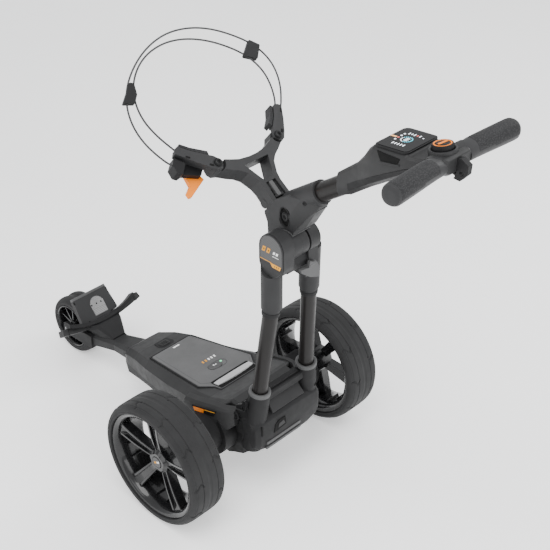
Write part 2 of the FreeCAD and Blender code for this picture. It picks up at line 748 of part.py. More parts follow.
def hinge_heads():
    """The tube sleeves with the hinge heads; the left one also carries half of the barrel."""
    y, z = size("hinge_y"), size("hinge_z")
    seam, outer = size("hinge_seam"), size("left_head_outer")
    right_inner, right_outer = size("right_head_inner"), size("right_head_outer")
    cover = []
    for word, side in SIDES.items():
        frame = tube_frame(side)
        collar_start = frame.multiply(Placement(Vector(0, 0, 219), Rotation()))
        cover.append(cylinder(f"collar_{word}", "tube_radius + 2", "12", collar_start))
    plate = stadium("head_left", HEAD_INNER, "left_head_outer - 38", *HEAD_SPAN, y,
                    HEAD_RADIUS)
    bulge = stadium("head_left_flat", outer, "30", *HEAD_SPAN, y, HEAD_RADIUS + 0.5)
    half_barrel = cross_cylinder("barrel_fixed", "barrel_radius", seam,
                                 str(HEAD_INNER + 1 - seam), y, z)
    sleeve = cylinder("sleeve_left", "sleeve_radius", "118", place(57, 217, 522))
    web = [(y - 24, 606), (y + 17, 606), (y + 20, 622), (y + 14, 640), (y - 16, 640),
           (y - 26, 624)]
    yoke = prism("yoke", web, f"{HEAD_INNER + 1} + {right_inner}",
                 side_frame(0, 0, (HEAD_INNER + 1 - right_inner) / 2), rounding=4)
    room = cross_cylinder("barrel_room", "barrel_radius + 0.8", -60, f"60 + {seam}", y, z)
    left = fuse("left_parts", cover[0], plate, half_barrel, sleeve, cut("yoke_cut", yoke, room))
    right_frame = tube_frame(-1).multiply(Placement(Vector(0, 0, 228), Rotation()))
    right_sleeve = cylinder("sleeve_right", "sleeve_radius", "112", right_frame)
    disc = cross_cylinder("head_right", "barrel_radius", -right_outer,
                          "right_head_outer - right_head_inner", y, z)
    cheek = [(y - 24, 576), (y + 15, 572), (y + 26, 606), (y + 22, 648), (y - 30, 655),
             (y - 26, 606)]
    block = prism("cheek_right", cheek, "right_head_outer - right_head_inner",
                  side_frame(0, 0, -(right_inner + right_outer) / 2), rounding=3)
    side_room = cross_cylinder("head_side_room", "60", -right_inner, "60", y, z)
    right = cut("right_clear", fuse("right_parts", cover[1], right_sleeve, disc, block),
                side_room)
    for word, side, solid in (("left", 1, left), ("right", -1, right)):
        bore = tube_frame(side).multiply(Placement(Vector(0, 0, 200), Rotation()))
        tools = [cylinder(f"head_bore_{word}", "tube_radius + 0.05", "65.4", bore),
                 cross_cylinder(f"pin_bore_{word}", "7.05", -80, "160", y, z)]
        if side > 0:
            tools.append(bulge)
        keep(cut(f"head_solid_{word}", solid, *tools), f"hinge_head_{word}")
    left_cap = stadium("cap_left", outer, "3", HEAD_SPAN[0] + 1.5, HEAD_SPAN[1] - 1.5, y,
                       HEAD_RADIUS - 1.5)
    right_cap = cross_cylinder("cap_right", "24", -right_outer - 3, "3", y, z)
    outside = cylinder("cap_sleeve_room", "sleeve_radius + 0.3", "112", right_frame)
    keep(fuse("caps", left_cap, cut("cap_right_cut", right_cap, outside)), "hinge_caps")
    pin = cross_cylinder("pin", "7", -right_outer + 0.1, f"{outer + right_outer - 0.2}", y, z)
    keep(pin, "hinge_pin")


# The left hinge head's inner face, the heights of its foot and crown, and its end radius
HEAD_INNER = 38.0
HEAD_SPAN = (607.0, 706.0)
HEAD_RADIUS = 33.0


def pivots_and_levers():
    screws = []
    pivot_y, pivot_z = size("frame_pivot_y"), size("frame_pivot_z")
    for word, side in SIDES.items():
        base = wheel_frame(side * 90, pivot_y, pivot_z, side)
        shank = cylinder(f"pivot_shank_{word}", "4", "9.7", base)
        head = cylinder(f"pivot_head_{word}", "9", "6",
                        base.multiply(Placement(Vector(0, 0, 9.7), Rotation())))
        screws.append(fuse(f"pivot_{word}", shank, head))
    keep(fuse("pivot_pair", *screws), "frame_pivot_screws")
    outline = [(157, 258), (161, 252), (174, 256), (184, 256), (188, 263), (190, 280),
               (186, 285), (182, 282), (176, 271), (167, 266)]
    hole = cross_cylinder("catch_hole", "3.6", 96, "20", *CATCH_PIVOT)
    keep(cut("catch_bored", prism("catch", outline, "8", side_frame(0, 0, 106.2), rounding=1.5),
             hole), "frame_catch_lever")
    paddle = [(-36, 575), (-8, 587), (18, 607), (21, 616), (-5, 611), (-7, 625), (-29, 614),
              (-36, 598)]
    back = place(0, 264, 0, X_AXIS, 90)
    knuckle = cross_cylinder("paddle_knuckle", "4.2", -26, "18", *LATCH_PIVOT)
    keep(fuse("latch", prism("paddle_plate", paddle, "7", back, midplane=False, rounding=1.5),
              knuckle), "fold_lever")


CATCH_PIVOT = (180.0, 262.0)
LATCH_PIVOT = (260.5, 615.0)


# --------------------------------------------------------------------------------------
# Upper casting and handle
# --------------------------------------------------------------------------------------
def along_handle(distance):
    """The handle tube's frame, moved along its axis."""
    return handle_frame.multiply(Placement(Vector(0, 0, distance), Rotation()))


def upper_casting():
    y, z = size("hinge_y"), size("hinge_z")
    seam = size("hinge_seam")
    barrel = cross_cylinder("barrel", "barrel_radius", -seam, f"{2 * seam - 0.3}", y, z)
    neck = [(176, 664), (174, 696), (166.5, 712), (166, 718), (196.3, 755.7), (228, 776),
            (262, 782), (282, 745), (247, 700), (243, 672), (220, 660)]
    spine = [(240, 690), (256, 715), (300, 765), (270, 778), (230, 740)]
    block = prism("casting_neck", neck, "50", side_frame(0, 0), rounding=1)
    ridge = prism("casting_spine", spine, "30", side_frame(0, 0), rounding=1)
    sleeve = cylinder("sleeve_upper", "sleeve_radius + 2.5", "98", along_handle(-180))
    around_hinge = [cross_cylinder(f"neck_room_{word}", "barrel_radius + 0.8",
                                   seam - 0.3 if side > 0 else -60, f"{60 - seam}", y, z)
                    for word, side in SIDES.items()]
    shaped = cut("neck_clear", fuse("neck_parts", block, ridge), *around_hinge)
    tongue = prism("tongue", [(-126, 20.4), (-110, 20.4), (-110, 39.6), (-126, 39.6)], "19.4",
                   across_bag_frame)
    knuckle = cross_cylinder("knuckle", "fork_knuckle - 0.4", -9.7, "19.4", *FORK_PIVOT)
    tube_bore = cylinder("handle_bore", "handle_radius + 0.05", "90", along_handle(-160))
    bores = [tube_bore, cross_cylinder("barrel_bore", "7.05", -60, "120", y, z),
             cross_cylinder("knuckle_bore", "3.55", -30, "60", *FORK_PIVOT)]
    heads = []
    for word, side in SIDES.items():
        turn = Placement(Vector(0, 0, 0), Rotation(Z_AXIS, 80))
        frame = side_frame(*CLAMP_SCREW, side * 21).multiply(turn)
        well = new_body(f"clamp_well_{word}", frame)
        sketch = new_sketch(well, f"clamp_oval_{word}")
        add_oval(sketch, 0, 0, 22, 13)
        pad(well, sketch, "6", midplane=False, down=side < 0)
        bores.append(well)
        heads.append(cylinder(f"clamp_head_{word}", "9.5", "3.6",
                              wheel_frame(side * 21, *CLAMP_SCREW, side)))
    solid = fuse("casting_parts", barrel, shaped, sleeve, tongue, knuckle)
    keep(cut("casting_solid", solid, *bores), "upper_casting")
    keep(fuse("clamp_heads", *heads), "clamp_screws")


CLAMP_SCREW = (222.0, 725.0)
FORK_PIVOT = (164.6, 732.5)


def handle():
    outer = cylinder("handle_outer", "handle_radius", "190", along_handle(-158))
    inner = cylinder("handle_inner", "handle_radius - tube_wall", "190", along_handle(-158))
    keep(cut("handle_hollow", outer, inner), "handle_tube")
    grips()
    accessory_hook(housing())


# Side outline of the handle head, (y, z): its crown above the seam and its belly below
SEAM = [(352, 846), (452, 916), (528, 962), (604, 968)]
CROWN = [(604, 996), (590, 994), (584, 987), (534, 977), (528, 983), (454, 976.5), (440, 962),
         (404, 916), (352, 876)]
BELLY = [(372, 829), (440, 880), (520, 935), (572, 955), (604, 959)]


def housing():
    crown = prism("crown", SEAM + CROWN, "96", side_frame(0, 0))
    trim = plan_trim("crown_trim")
    crown_cut = common("crown_plan", crown, trim)
    tube = cylinder("housing_tube", "handle_radius + 0.05", "60", along_handle(-26))
    glass_well = box("glass_well", (-size("display_half") - 0.3, -35.3, -3),
                     (size("display_half") + 0.3, 35.3, 30), display_frame)
    dial_well = cylinder("dial_well", "dial_radius + 1", "30",
                         dial_frame.multiply(Placement(Vector(0, 0, -1.5), Rotation())))
    wells = [cylinder(f"crown_bar_{word}", "11.05", "120", bar_half(side, 0))
             for word, side in SIDES.items()]
    keep(cut("crown_solid", crown_cut, tube, glass_well, dial_well, *wells), "handle_cover")
    belly = prism("belly", BELLY + SEAM[::-1], "88", side_frame(0, 0))
    belly_cut = common("belly_plan", belly, plan_trim("belly_trim"))
    under = cut("belly_solid", belly_cut, cylinder("belly_tube", "handle_radius + 0.05", "60",
                                                   along_handle(-26)))
    keep(under, "handle_base")
    length = size("display_length") / 2
    half = size("display_half")
    pane = [(-half, -length), (half, -length), (half, length), (-half, length)]
    keep(prism("glass", pane, "3", display_frame, midplane=False, down=True, rounding=9),
         "display_glass")
    edge = size("dial_radius")
    knob = turned("knob", [(4, 0), (edge, 0), (edge, 10), (edge - 1.5, 11.5), (13.4, 11.5),
                           (13.4, 3), (4, 3)],
                  dial_frame.multiply(Placement(Vector(0, 0, -1), Rotation())))
    keep(knob, "speed_dial")
    cap = cylinder("dial_cap", "13", "6.5",
                   dial_frame.multiply(Placement(Vector(0, 0, 4.5), Rotation())))
    keep(cap, "dial_button")
    return under


def plan_trim(name):
    """The handle head seen from above, as a tall prism."""
    outline = [(-22, 345), (22, 345), (30, 404), (46, 440), (49, 470), (49, 528), (44, 556),
               (46, 568), (46, 600), (40, 604), (-40, 604), (-46, 600), (-46, 568), (-44, 556),
               (-49, 528), (-49, 470), (-46, 440), (-30, 404)]
    return prism(name, outline, "600", place(0, 0, 900))


def bar_half(side, distance):
    """A frame on the swept handle bar, local Z along it, away from the middle."""
    lean = math.radians(size("grip_sweep"))
    middle = Vector(0, size("bar_y"), size("bar_z"))
    way = Vector(side * math.cos(lean), math.sin(lean), 0)
    return Placement(middle + way * distance, Rotation(Z_AXIS, way))


def grips():
    halves, grip_start = [], 47.5
    for word, side in SIDES.items():
        halves.append(cylinder(f"bar_{word}", "11", "grip_half - 12", bar_half(side, 0)))
        sleeve = cylinder(f"grip_outer_{word}", "grip_radius", f"grip_half - {grip_start}",
                          bar_half(side, grip_start))
        hole = cylinder(f"grip_hole_{word}", "11.05", f"grip_half - {grip_start} - 11.9",
                        bar_half(side, grip_start - 0.1))
        keep(cut(f"grip_{word}", sleeve, hole), f"grip_{word}")
    keep(fuse("bar_solid", *halves), "handle_bar")


def accessory_hook(under):
    """A hooked lug behind the bar, seated on the rear of the handle head and under its edge."""
    outline = [(593, 957), (604, 958.8), (604, 987), (612, 990), (628, 981), (627, 963),
               (613, 947), (599, 948), (602, 954)]
    plate = prism("hook_plate", outline, "12", side_frame(0, 0), rounding=1)
    eye = cross_cylinder("hook_eye", "4.5", -20, "40", 615, 962)
    keep(cut("hook", plate, eye, under), "accessory_hook")


# --------------------------------------------------------------------------------------
# Bag fork, pads and strap
# --------------------------------------------------------------------------------------
def bag_fork():
    """The Y-shaped upper bag support, in the bag plane, hinged at its foot."""
    half = size("pivot_half")
    foot = [(25, -119.9), (24, -100), (23.5, -85), (26, -70), (37, -46), (49, -35), (64, -27),
            (82, -15.5), (94, -12), (99, -4)]
    crown = [(98, 7), (90, 13.5), (79, 13), (70, 2), (56, -4), (36, -11.5), (10, -15)]
    side = foot + crown
    outline = side + [(-x, y) for x, y in reversed(side)]
    body = prism("fork_solid", outline, "fork_depth", bag_frame, midplane=False)
    window = new_sketch(body, "fork_window")
    add_outline(window, [(-13, -72), (13, -72), (33, -28), (-33, -28)])
    pocket(body, window, "fork_depth", up=True)
    channel = new_sketch(body, "fork_channel")
    add_outline(channel, [(-15, -118), (15, -118), (13, -79), (-13, -79)])
    pocket(body, channel, "6", up=True)
    tools, parts = [], [body]
    for word, hand in SIDES.items():
        centre = bag_frame.multiply(Placement(Vector(hand * half, 0, -1), Rotation()))
        tools.append(cylinder(f"pad_seat_{word}", "17.5", "10.4", centre))
        low, high = sorted((hand * half, hand * (half + 30)))
        tools.append(box(f"pad_side_{word}", (low, -30, -1), (high, 30, 9.4), bag_frame))
        tools.append(cylinder(f"lug_bore_{word}", "4.05", "30", centre))
    knuckle = cross_cylinder("fork_foot", "fork_knuckle", -25, "50", *FORK_PIVOT)
    pin = cross_cylinder("fork_pin", "3.5", -25, "50", *FORK_PIVOT)
    tools.append(prism("fork_heel", [(-130, 30), (-110, 30), (-110, 60), (-130, 60)], "60",
                       across_bag_frame))
    slot = prism("fork_slot", [(-130, -5), (-96, -5), (-96, 60), (-130, 60)], "20.2",
                 across_bag_frame)
    rails = cut("fork_rails", fuse("fork_ended", cut("fork_trimmed", body, *tools), knuckle),
                slot)
    keep(fuse("fork_done", rails, pin), "bag_fork")


# How far each pad has swung inward from straight across, to lie against the bag
PAD_SWING = {"left": 40.0, "right": 52.0}
PAD_LENGTH = {"left": 92.0, "right": 77.0}


def pad_frame(word, depth=0.0):
    """A pad's pivot, with local X along the pad and local Z down the bag."""
    side = SIDES[word]
    turn = PAD_SWING[word] if side > 0 else 180 - PAD_SWING[word]
    local = Placement(Vector(side * size("pivot_half"), 0, depth), Rotation(Z_AXIS, turn))
    return bag_frame.multiply(local)


def handed(points, word):
    """A left-hand pad outline, mirrored for the right pad."""
    return points if word == "left" else [(x, -y) for x, y in reversed(points)]


def pads():
    screws = []
    for word in SIDES:
        tip = PAD_LENGTH[word]
        cover_outline = [(-12, -9.5), (-3, -14.5), (14, -15.5), (46, -13.5), (tip - 1, -9),
                         (tip, -2), (tip - 2, 7), (tip - 8, 10), (tip - 34, 8.5), (10, 12.5),
                         (-9, 8)]
        wall_outline = [(20, -14), (46, -12), (tip - 2, -8), (tip - 3, 6), (tip - 9, 9),
                        (tip - 34, 8), (20, 11)]
        face_outline = [(20, 13), (26, 12.2), (tip - 34, 10.1), (tip - 9, 12), (tip - 8, 17),
                        (tip - 30, 16), (24, 20)]
        cover = prism(f"pad_cover_{word}", handed(cover_outline, word), "9", pad_frame(word),
                      midplane=False)
        wall = prism(f"pad_wall_{word}", handed(wall_outline, word), "11", pad_frame(word, 9),
                     midplane=False)
        bore = cylinder(f"pad_bore_{word}", "4.05", "40", pad_frame(word, -20))
        keep(cut(f"pad_shell_solid_{word}", fuse(f"pad_shell_parts_{word}", cover, wall), bore),
             f"pad_shell_{word}")
        keep(prism(f"pad_face_{word}", handed(face_outline, word), "24", pad_frame(word, 13)),
             f"pad_rubber_{word}")
        shank = cylinder(f"pad_shank_{word}", "4", "18.5", pad_frame(word, -0.5))
        head = cylinder(f"pad_head_{word}", "7", "3", pad_frame(word, -3.1))
        screws.append(fuse(f"pad_screw_{word}", shank, head))
    keep(fuse("pad_screw_pair", *screws), "pad_screws")


def ratchet():
    """The strap's tensioner under the left pad, with the lever that winds it."""
    outline = [(24, -14), (26, -28), (64, -37), (72, -46), (82, -46), (92, -32), (88, -10),
               (80, 6), (30, 6)]
    block = prism("ratchet_block", outline, "13", pad_frame("left", 20.1), midplane=False,
                  rounding=3)
    corner = [(66, -20), (70, -46), (82, -46.5), (92, -32), (92, -15)]
    guide = prism("cord_guide", corner, "20", pad_frame("left", 5), midplane=False, rounding=2)
    post = cylinder("lever_post", "4", "14", pad_frame("left", 33.0).multiply(
        Placement(Vector(*LEVER_PIVOT, 0), Rotation())))
    keep(fuse("ratchet_solid", block, guide, post), "strap_ratchet")
    points = [(-10, 10), (-12, -14), (-11, -30), (-24, -27), (-28, -40), (19, -61), (25, -60),
              (25, -50), (9, -39), (6, -13), (10, 10)]
    solid = prism("lever_plate", points, "9", lever_frame(), midplane=False)
    bore = cylinder("lever_bore", "4.05", "20", lever_frame().multiply(
        Placement(Vector(0, 0, -5), Rotation())))
    keep(cut("lever_solid", solid, bore), "strap_lever")


LEVER_PIVOT = (61.4, -12.4)


def lever_frame():
    """The strap lever's pivot: local Y up the lever, away from its finger end."""
    spot = pad_frame("left", 33.5).multiply(Placement(Vector(*LEVER_PIVOT, 0), Rotation()))
    return Placement(spot.Base, Rotation(X_AXIS, size("bag_lean")))


# Strap routes in the strap plane, from the left pad round the bag to the right pad
OUTER_STRAP = [(162, 17), (178.7, 40.9), (189.7, 64.9), (198.7, 94.9), (200.7, 124.9),
               (195.7, 154.9), (183.7, 183.9), (163.7, 212.9), (136.7, 237.9), (104.7, 259.9),
               (71.7, 276.9), (37.7, 288.9), (0.7, 295.9), (-38.3, 294.9), (-77.3, 285.9),
               (-113.3, 268.9), (-146.3, 243.9), (-174.3, 215.9), (-191.3, 185.9),
               (-196.3, 152.9), (-189.3, 120.9), (-175.3, 92.9), (-160.3, 72.9), (-147, 57),
               (-132, 44)]
INNER_STRAP = [(144, 50), (157.7, 82.9), (165.7, 107.9), (170.7, 136.9), (167.7, 166.9),
               (156.7, 196.9), (137.7, 223.9), (111.7, 246.9), (81.7, 263.9), (49.7, 273.9),
               (15.7, 277.9), (-18.3, 274.9), (-52.3, 264.9), (-85.3, 247.9), (-115.3, 224.9),
               (-141.3, 197.9), (-157.3, 167.9), (-162.3, 136.9), (-157.3, 108.9),
               (-147.3, 82.9), (-135, 63), (-122, 50)]
SLIDER = [(-165.3, 170.9), (-137.3, 188.9), (-175.3, 217.9), (-193.3, 197.9)]
COUPLER = [(166.7, 179.9), (190.7, 188.9), (166.7, 208.9), (149.7, 223.9), (141.7, 218.9),
           (150.7, 194.9)]


def rounded_route(points):
    """Straight runs through the points, joined by tangent arcs, in the plane z = 0."""
    spots = [Vector(x, y, 0) for x, y in points]
    edges, here, smallest = [], spots[0], 1e9
    for before, corner, after in zip(spots, spots[1:], spots[2:]):
        run_in, run_out = corner - before, after - corner
        turn = run_in.getAngle(run_out)
        reach = 0.45 * min(run_in.Length, run_out.Length)
        smallest = min(smallest, reach / math.tan(turn / 2))
        way_in = Vector(run_in).normalize()
        way_out = Vector(run_out).normalize()
        start, end = corner - way_in * reach, corner + way_out * reach
        bisector = (way_out - way_in).normalize()
        radius = reach / math.tan(turn / 2)
        centre = corner + bisector * (radius / math.cos(turn / 2))
        middle = centre - bisector * radius
        edges.append(Part.LineSegment(here, start).toShape())
        edges.append(Part.Arc(start, middle, end).toShape())
        here = end
    edges.append(Part.LineSegment(here, spots[-1]).toShape())
    return Part.Wire(edges), smallest


def strap(name, points):
    """A round cord swept along its route in the strap plane."""
    wire, smallest = rounded_route(points)
    radius = size("cord_radius")
    way = wire.Edges[0].tangentAt(wire.Edges[0].FirstParameter)
    section = Part.Wire([Part.Circle(wire.Edges[0].Vertexes[0].Point, way, radius).toShape()])
    solid = wire.makePipeShell([section], True, False)
    expected = math.pi * radius ** 2 * wire.Length
    print(f"{name}: length {wire.Length:.1f} mm, smallest bend radius {smallest:.1f} mm, "
          f"volume {solid.Volume:.0f} of {expected:.0f} mm3")
    feature = doc.addObject("Part::Feature", name)
    feature.Shape = solid
    feature.Placement = strap_frame
    return feature


def straps():
    """Two strands round the bag; each end stops where it enters the pad or the ratchet."""
    outer, inner = strap("outer_cord", OUTER_STRAP), strap("inner_cord", INNER_STRAP)
    holders = [item for item in nodes if item.Label.startswith(("pad_", "strap_ratchet"))]
    for cord, label in ((outer, "strap_outer"), (inner, "strap_inner")):
        ended = cord
        for index, holder in enumerate(holders):
            ended = cut(f"{label}_end_{index}", ended, holder)
        keep(ended, label)
    clip = prism("clip", SLIDER, "10", strap_frame, rounding=3)
    keep(cut("clip_cut", clip, outer, inner), "strap_slider")
    hook = prism("coupler", COUPLER, "10", strap_frame, rounding=2)
    keep(cut("coupler_cut", hook, outer, inner), "strap_hook")


# --------------------------------------------------------------------------------------
# Build, check and write
# --------------------------------------------------------------------------------------
def check_document():
    doc.recompute()
    for item in doc.Objects:
        if "Invalid" in item.State or "Error" in item.State:
            raise RuntimeError(f"{item.Name} failed: {item.State}")
    for item in nodes:
        if item.Shape.isNull() or not item.Shape.isValid():
            raise RuntimeError(f"{item.Label} has no valid shape")


rear_wheels()
drive()
front_wheel()
bag_base(neck_and_fork())
chassis()
battery()
socket_casting()
rear_panel()
frame_tubes()
hinge_heads()
pivots_and_levers()
upper_casting()
handle()
bag_fork()
pads()
ratchet()
straps()
check_document()

os.makedirs("parts", exist_ok=True)
for item in nodes:
    item.Shape.exportStep(f"parts/{item.Label}.step")
    print(f"{item.Label}: {len(item.Shape.Solids)} solid(s), {item.Shape.Volume / 1000:.1f} cm3")
print(len(nodes), "nodes")
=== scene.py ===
"""Electric golf trolley: the looks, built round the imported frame.

Metres, +Z up, front wheel toward -Y, the trolley's left side toward +X.
"""

import json
import math

import bmesh
import bpy
from mathutils import Matrix, Vector

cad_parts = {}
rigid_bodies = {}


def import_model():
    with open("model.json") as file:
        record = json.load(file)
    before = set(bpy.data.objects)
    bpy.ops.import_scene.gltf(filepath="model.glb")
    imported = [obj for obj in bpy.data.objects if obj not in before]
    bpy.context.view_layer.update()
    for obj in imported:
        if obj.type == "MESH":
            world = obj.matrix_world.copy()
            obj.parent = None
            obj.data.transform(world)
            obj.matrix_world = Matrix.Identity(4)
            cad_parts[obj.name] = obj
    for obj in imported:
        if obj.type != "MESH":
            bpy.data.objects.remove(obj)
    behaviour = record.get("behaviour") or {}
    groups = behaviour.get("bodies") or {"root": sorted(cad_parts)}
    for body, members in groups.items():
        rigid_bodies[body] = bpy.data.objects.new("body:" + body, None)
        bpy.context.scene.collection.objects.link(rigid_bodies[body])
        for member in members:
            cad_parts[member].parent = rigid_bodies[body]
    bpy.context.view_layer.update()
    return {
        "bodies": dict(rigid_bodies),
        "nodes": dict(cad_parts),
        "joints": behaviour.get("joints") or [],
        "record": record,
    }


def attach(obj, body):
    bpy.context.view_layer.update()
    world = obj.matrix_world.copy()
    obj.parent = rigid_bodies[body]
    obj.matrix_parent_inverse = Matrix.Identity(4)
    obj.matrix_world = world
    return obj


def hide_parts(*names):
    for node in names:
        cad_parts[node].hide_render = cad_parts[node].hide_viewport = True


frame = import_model()
nodes = frame["nodes"]
node_slot = {s["node"]: s["material_slot"] for s in frame["record"]["subparts"]}
joint_place = {j["name"]: Vector(j["pos_m"]) for j in frame["record"]["behaviour"]["joints"]
               if "pos_m" in j}
SIDES = {"left": 1, "right": -1}


# --- Frames of the slanted parts ---
def tilted(place, degrees):
    """A frame turned about X, as the CAD's slanted parts are."""
    return Matrix.Translation(place) @ Matrix.Rotation(math.radians(degrees), 4, "X")


FRONT_AXLE = joint_place["front_wheel_turn"]
HINGE = joint_place["handle_fold"]
FRAME_PIVOT = joint_place["frame_fold"]
PAD_PIVOT = joint_place["left_pad_swing"]
BATTERY = tilted((0, -0.183, 0.184), 8.9)
BAG = tilted((0, PAD_PIVOT.y, PAD_PIVOT.z), 141)
PLATE = tilted((0, -0.48, 0.165), 129.6)
DISPLAY = tilted((0, 0.491, 0.981), 5)
DIAL = tilted(joint_place["dial_turn"], 10)


# --- Materials ---
def new_material(name, colour, roughness, metallic=0.0, coat=0.0, sheen=0.0, specular=0.5):
    material = bpy.data.materials.new(name)
    material.use_nodes = True
    shader = material.node_tree.nodes["Principled BSDF"]
    shader.inputs["Base Color"].default_value = (*colour, 1)
    shader.inputs["Roughness"].default_value = roughness
    shader.inputs["Metallic"].default_value = metallic
    shader.inputs["Coat Weight"].default_value = coat
    shader.inputs["Coat Roughness"].default_value = 0.08
    shader.inputs["Sheen Weight"].default_value = sheen
    shader.inputs["Specular IOR Level"].default_value = specular
    return material


def add(material, kind, **settings):
    node = material.node_tree.nodes.new(kind)
    for key, value in settings.items():
        if key in node.inputs:
            node.inputs[key].default_value = value
        else:
            setattr(node, key, value)
    return node


def link(material, start, end):
    material.node_tree.links.new(start, end)


def object_noise(material, scale, detail=3.0, stretch=(1, 1, 1)):
    """Noise fixed to the piece."""
    place = add(material, "ShaderNodeTexCoord")
    mapping = add(material, "ShaderNodeMapping")
    mapping.inputs["Scale"].default_value = stretch
    link(material, place.outputs["Object"], mapping.inputs["Vector"])
    noise = add(material, "ShaderNodeTexNoise", Scale=scale, Detail=detail)
    link(material, mapping.outputs["Vector"], noise.inputs["Vector"])
    return noise.outputs["Fac"]


def spread(material, value, low, high, inner=(0.3, 0.7)):
    """Maps a value's middle range on to low .. high."""
    remap = add(material, "ShaderNodeMapRange")
    for key, number in zip(("From Min", "From Max", "To Min", "To Max"), (*inner, low, high)):
        remap.inputs[key].default_value = number
    link(material, value, remap.inputs["Value"])
    return remap.outputs["Result"]


def tint(material, value, dark, light):
    """A colour between two, by a value from 0 to 1."""
    mix = add(material, "ShaderNodeMix", data_type="RGBA")
    mix.inputs["A"].default_value = (*dark, 1)
    mix.inputs["B"].default_value = (*light, 1)
    link(material, value, mix.inputs["Factor"])
    return mix.outputs["Result"]


EDGE_BAND_WIDTH = 0.0009
GRAIN_SPECULAR = 0.16


def lighter_edges(material, colour, edge_colour, amount):
    """Lightens a colour a little where the surface turns a corner."""
    geometry = add(material, "ShaderNodeNewGeometry")
    soft = add(material, "ShaderNodeBevel", samples=4)
    soft.inputs["Radius"].default_value = EDGE_BAND_WIDTH
    turn = add(material, "ShaderNodeVectorMath", operation="DOT_PRODUCT")
    link(material, soft.outputs["Normal"], turn.inputs[0])
    link(material, geometry.outputs["Normal"], turn.inputs[1])
    edge = spread(material, turn.outputs["Value"], 0.0, amount, (0.995, 0.85))
    mix = add(material, "ShaderNodeMix", data_type="RGBA")
    mix.inputs["B"].default_value = (*edge_colour, 1)
    link(material, colour, mix.inputs["A"])
    link(material, edge, mix.inputs["Factor"])
    return mix.outputs["Result"]


def relief(material, height, strength, distance, rounded=0.0008):
    """Bump over softened edges."""
    soft = add(material, "ShaderNodeBevel", samples=4)
    soft.inputs["Radius"].default_value = rounded
    bump = add(material, "ShaderNodeBump")
    bump.inputs["Strength"].default_value = strength
    bump.inputs["Distance"].default_value = distance
    link(material, height, bump.inputs["Height"])
    link(material, soft.outputs["Normal"], bump.inputs["Normal"])
    link(material, bump.outputs["Normal"],
         material.node_tree.nodes["Principled BSDF"].inputs["Normal"])


def moulded(name, colour, roughness, grain=900.0, depth=0.00012, spread_by=0.12, coat=0.0,
            specular=GRAIN_SPECULAR, edge_lift=0.3):
    """Moulded plastic: a fine spark-eroded grain, slight mottling and edges lightened a little.
    """
    material = new_material(name, colour, roughness, coat=coat, specular=specular)
    shader = material.node_tree.nodes["Principled BSDF"]
    mottle = spread(material, object_noise(material, 14.0), 0.0, 1.0)
    low = tuple(c * (1 - spread_by) for c in colour)
    high = tuple(min(1, c * (1 + spread_by)) for c in colour)
    base = tint(material, mottle, low, high)
    # a lighter copy of the colour, laid along edges and corners
    edge_colour = tuple(min(1, c * 1.5 + 0.015) for c in colour)
    link(material, lighter_edges(material, base, edge_colour, edge_lift), shader.inputs["Base Color"])
    rough = spread(material, object_noise(material, 60.0), roughness - 0.05, roughness + 0.06)
    link(material, rough, shader.inputs["Roughness"])
    relief(material, object_noise(material, grain, 2.0), 0.5, depth)
    return material


def rubber(name, colour, roughness, grain=500.0):
    material = moulded(name, colour, roughness, grain, 0.0003, 0.15, edge_lift=0.15)
    material.node_tree.nodes["Principled BSDF"].inputs["Sheen Weight"].default_value = 0.04
    return material


def metal(name, colour, roughness, stretch=(1, 1, 1)):
    material = new_material(name, colour, roughness, metallic=1.0)
    shader = material.node_tree.nodes["Principled BSDF"]
    streak = object_noise(material, 220.0, 4.0, stretch)
    link(material, spread(material, streak, roughness - 0.08, roughness + 0.1),
         shader.inputs["Roughness"])
    tone = spread(material, object_noise(material, 18.0), 0.0, 1.0)
    link(material, tint(material, tone, tuple(c * 0.88 for c in colour), colour),
         shader.inputs["Base Color"])
    relief(material, streak, 0.2, 0.00008, 0.0005)
    return material


def glow(name, colour, strength):
    """A lit mark on a screen or a lamp, a little uneven."""
    material = new_material(name, colour, 0.4)
    shader = material.node_tree.nodes["Principled BSDF"]
    lit = spread(material, object_noise(material, 300.0), 0.85, 1.0)
    link(material, tint(material, lit, tuple(c * 0.5 for c in colour), colour),
         shader.inputs["Emission Color"])
    shader.inputs["Emission Strength"].default_value = strength
    return material


def crossed_waves(material, turns, scale, **settings):
    """Two sets of diagonal bands multiplied together."""
    place = add(material, "ShaderNodeTexCoord")
    both = add(material, "ShaderNodeMath", operation="MULTIPLY")
    for k, turn in enumerate(turns):
        mapping = add(material, "ShaderNodeMapping")
        mapping.inputs["Rotation"].default_value = turn
        link(material, place.outputs["Object"], mapping.inputs["Vector"])
        wave = add(material, "ShaderNodeTexWave", Scale=scale, **settings)
        link(material, mapping.outputs["Vector"], wave.inputs["Vector"])
        link(material, wave.outputs["Fac"], both.inputs[k])
    return both.outputs[0]


def woven(material, weave, dark, light, strength, depth):
    """Colours and raises a material by its weave."""
    link(material, tint(material, weave, dark, light),
         material.node_tree.nodes["Principled BSDF"].inputs["Base Color"])
    relief(material, weave, strength, depth, 0.0003)
    return material


def cord_material():
    """Braided elastic: crossing diagonal ridges."""
    material = new_material("cord", (0.02, 0.02, 0.021), 0.75, sheen=0.2)
    braid = crossed_waves(material, ((0.8, 0.8, 0.6), (-0.8, -0.8, 0.6)), 260.0, Distortion=0.6)
    return woven(material, braid, (0.012, 0.012, 0.013), (0.04, 0.04, 0.042), 0.6, 0.0003)


def weave_material():
    """Dark print with a fine diagonal weave."""
    material = new_material("cap_weave", (0.03, 0.03, 0.031), 0.42, coat=0.2)
    weave = crossed_waves(material, ((0.785, 0, 0), (-0.785, 0, 0)), 110.0, bands_direction="Y")
    return woven(material, weave, (0.016, 0.016, 0.017), (0.045, 0.045, 0.046), 0.3, 0.0002)


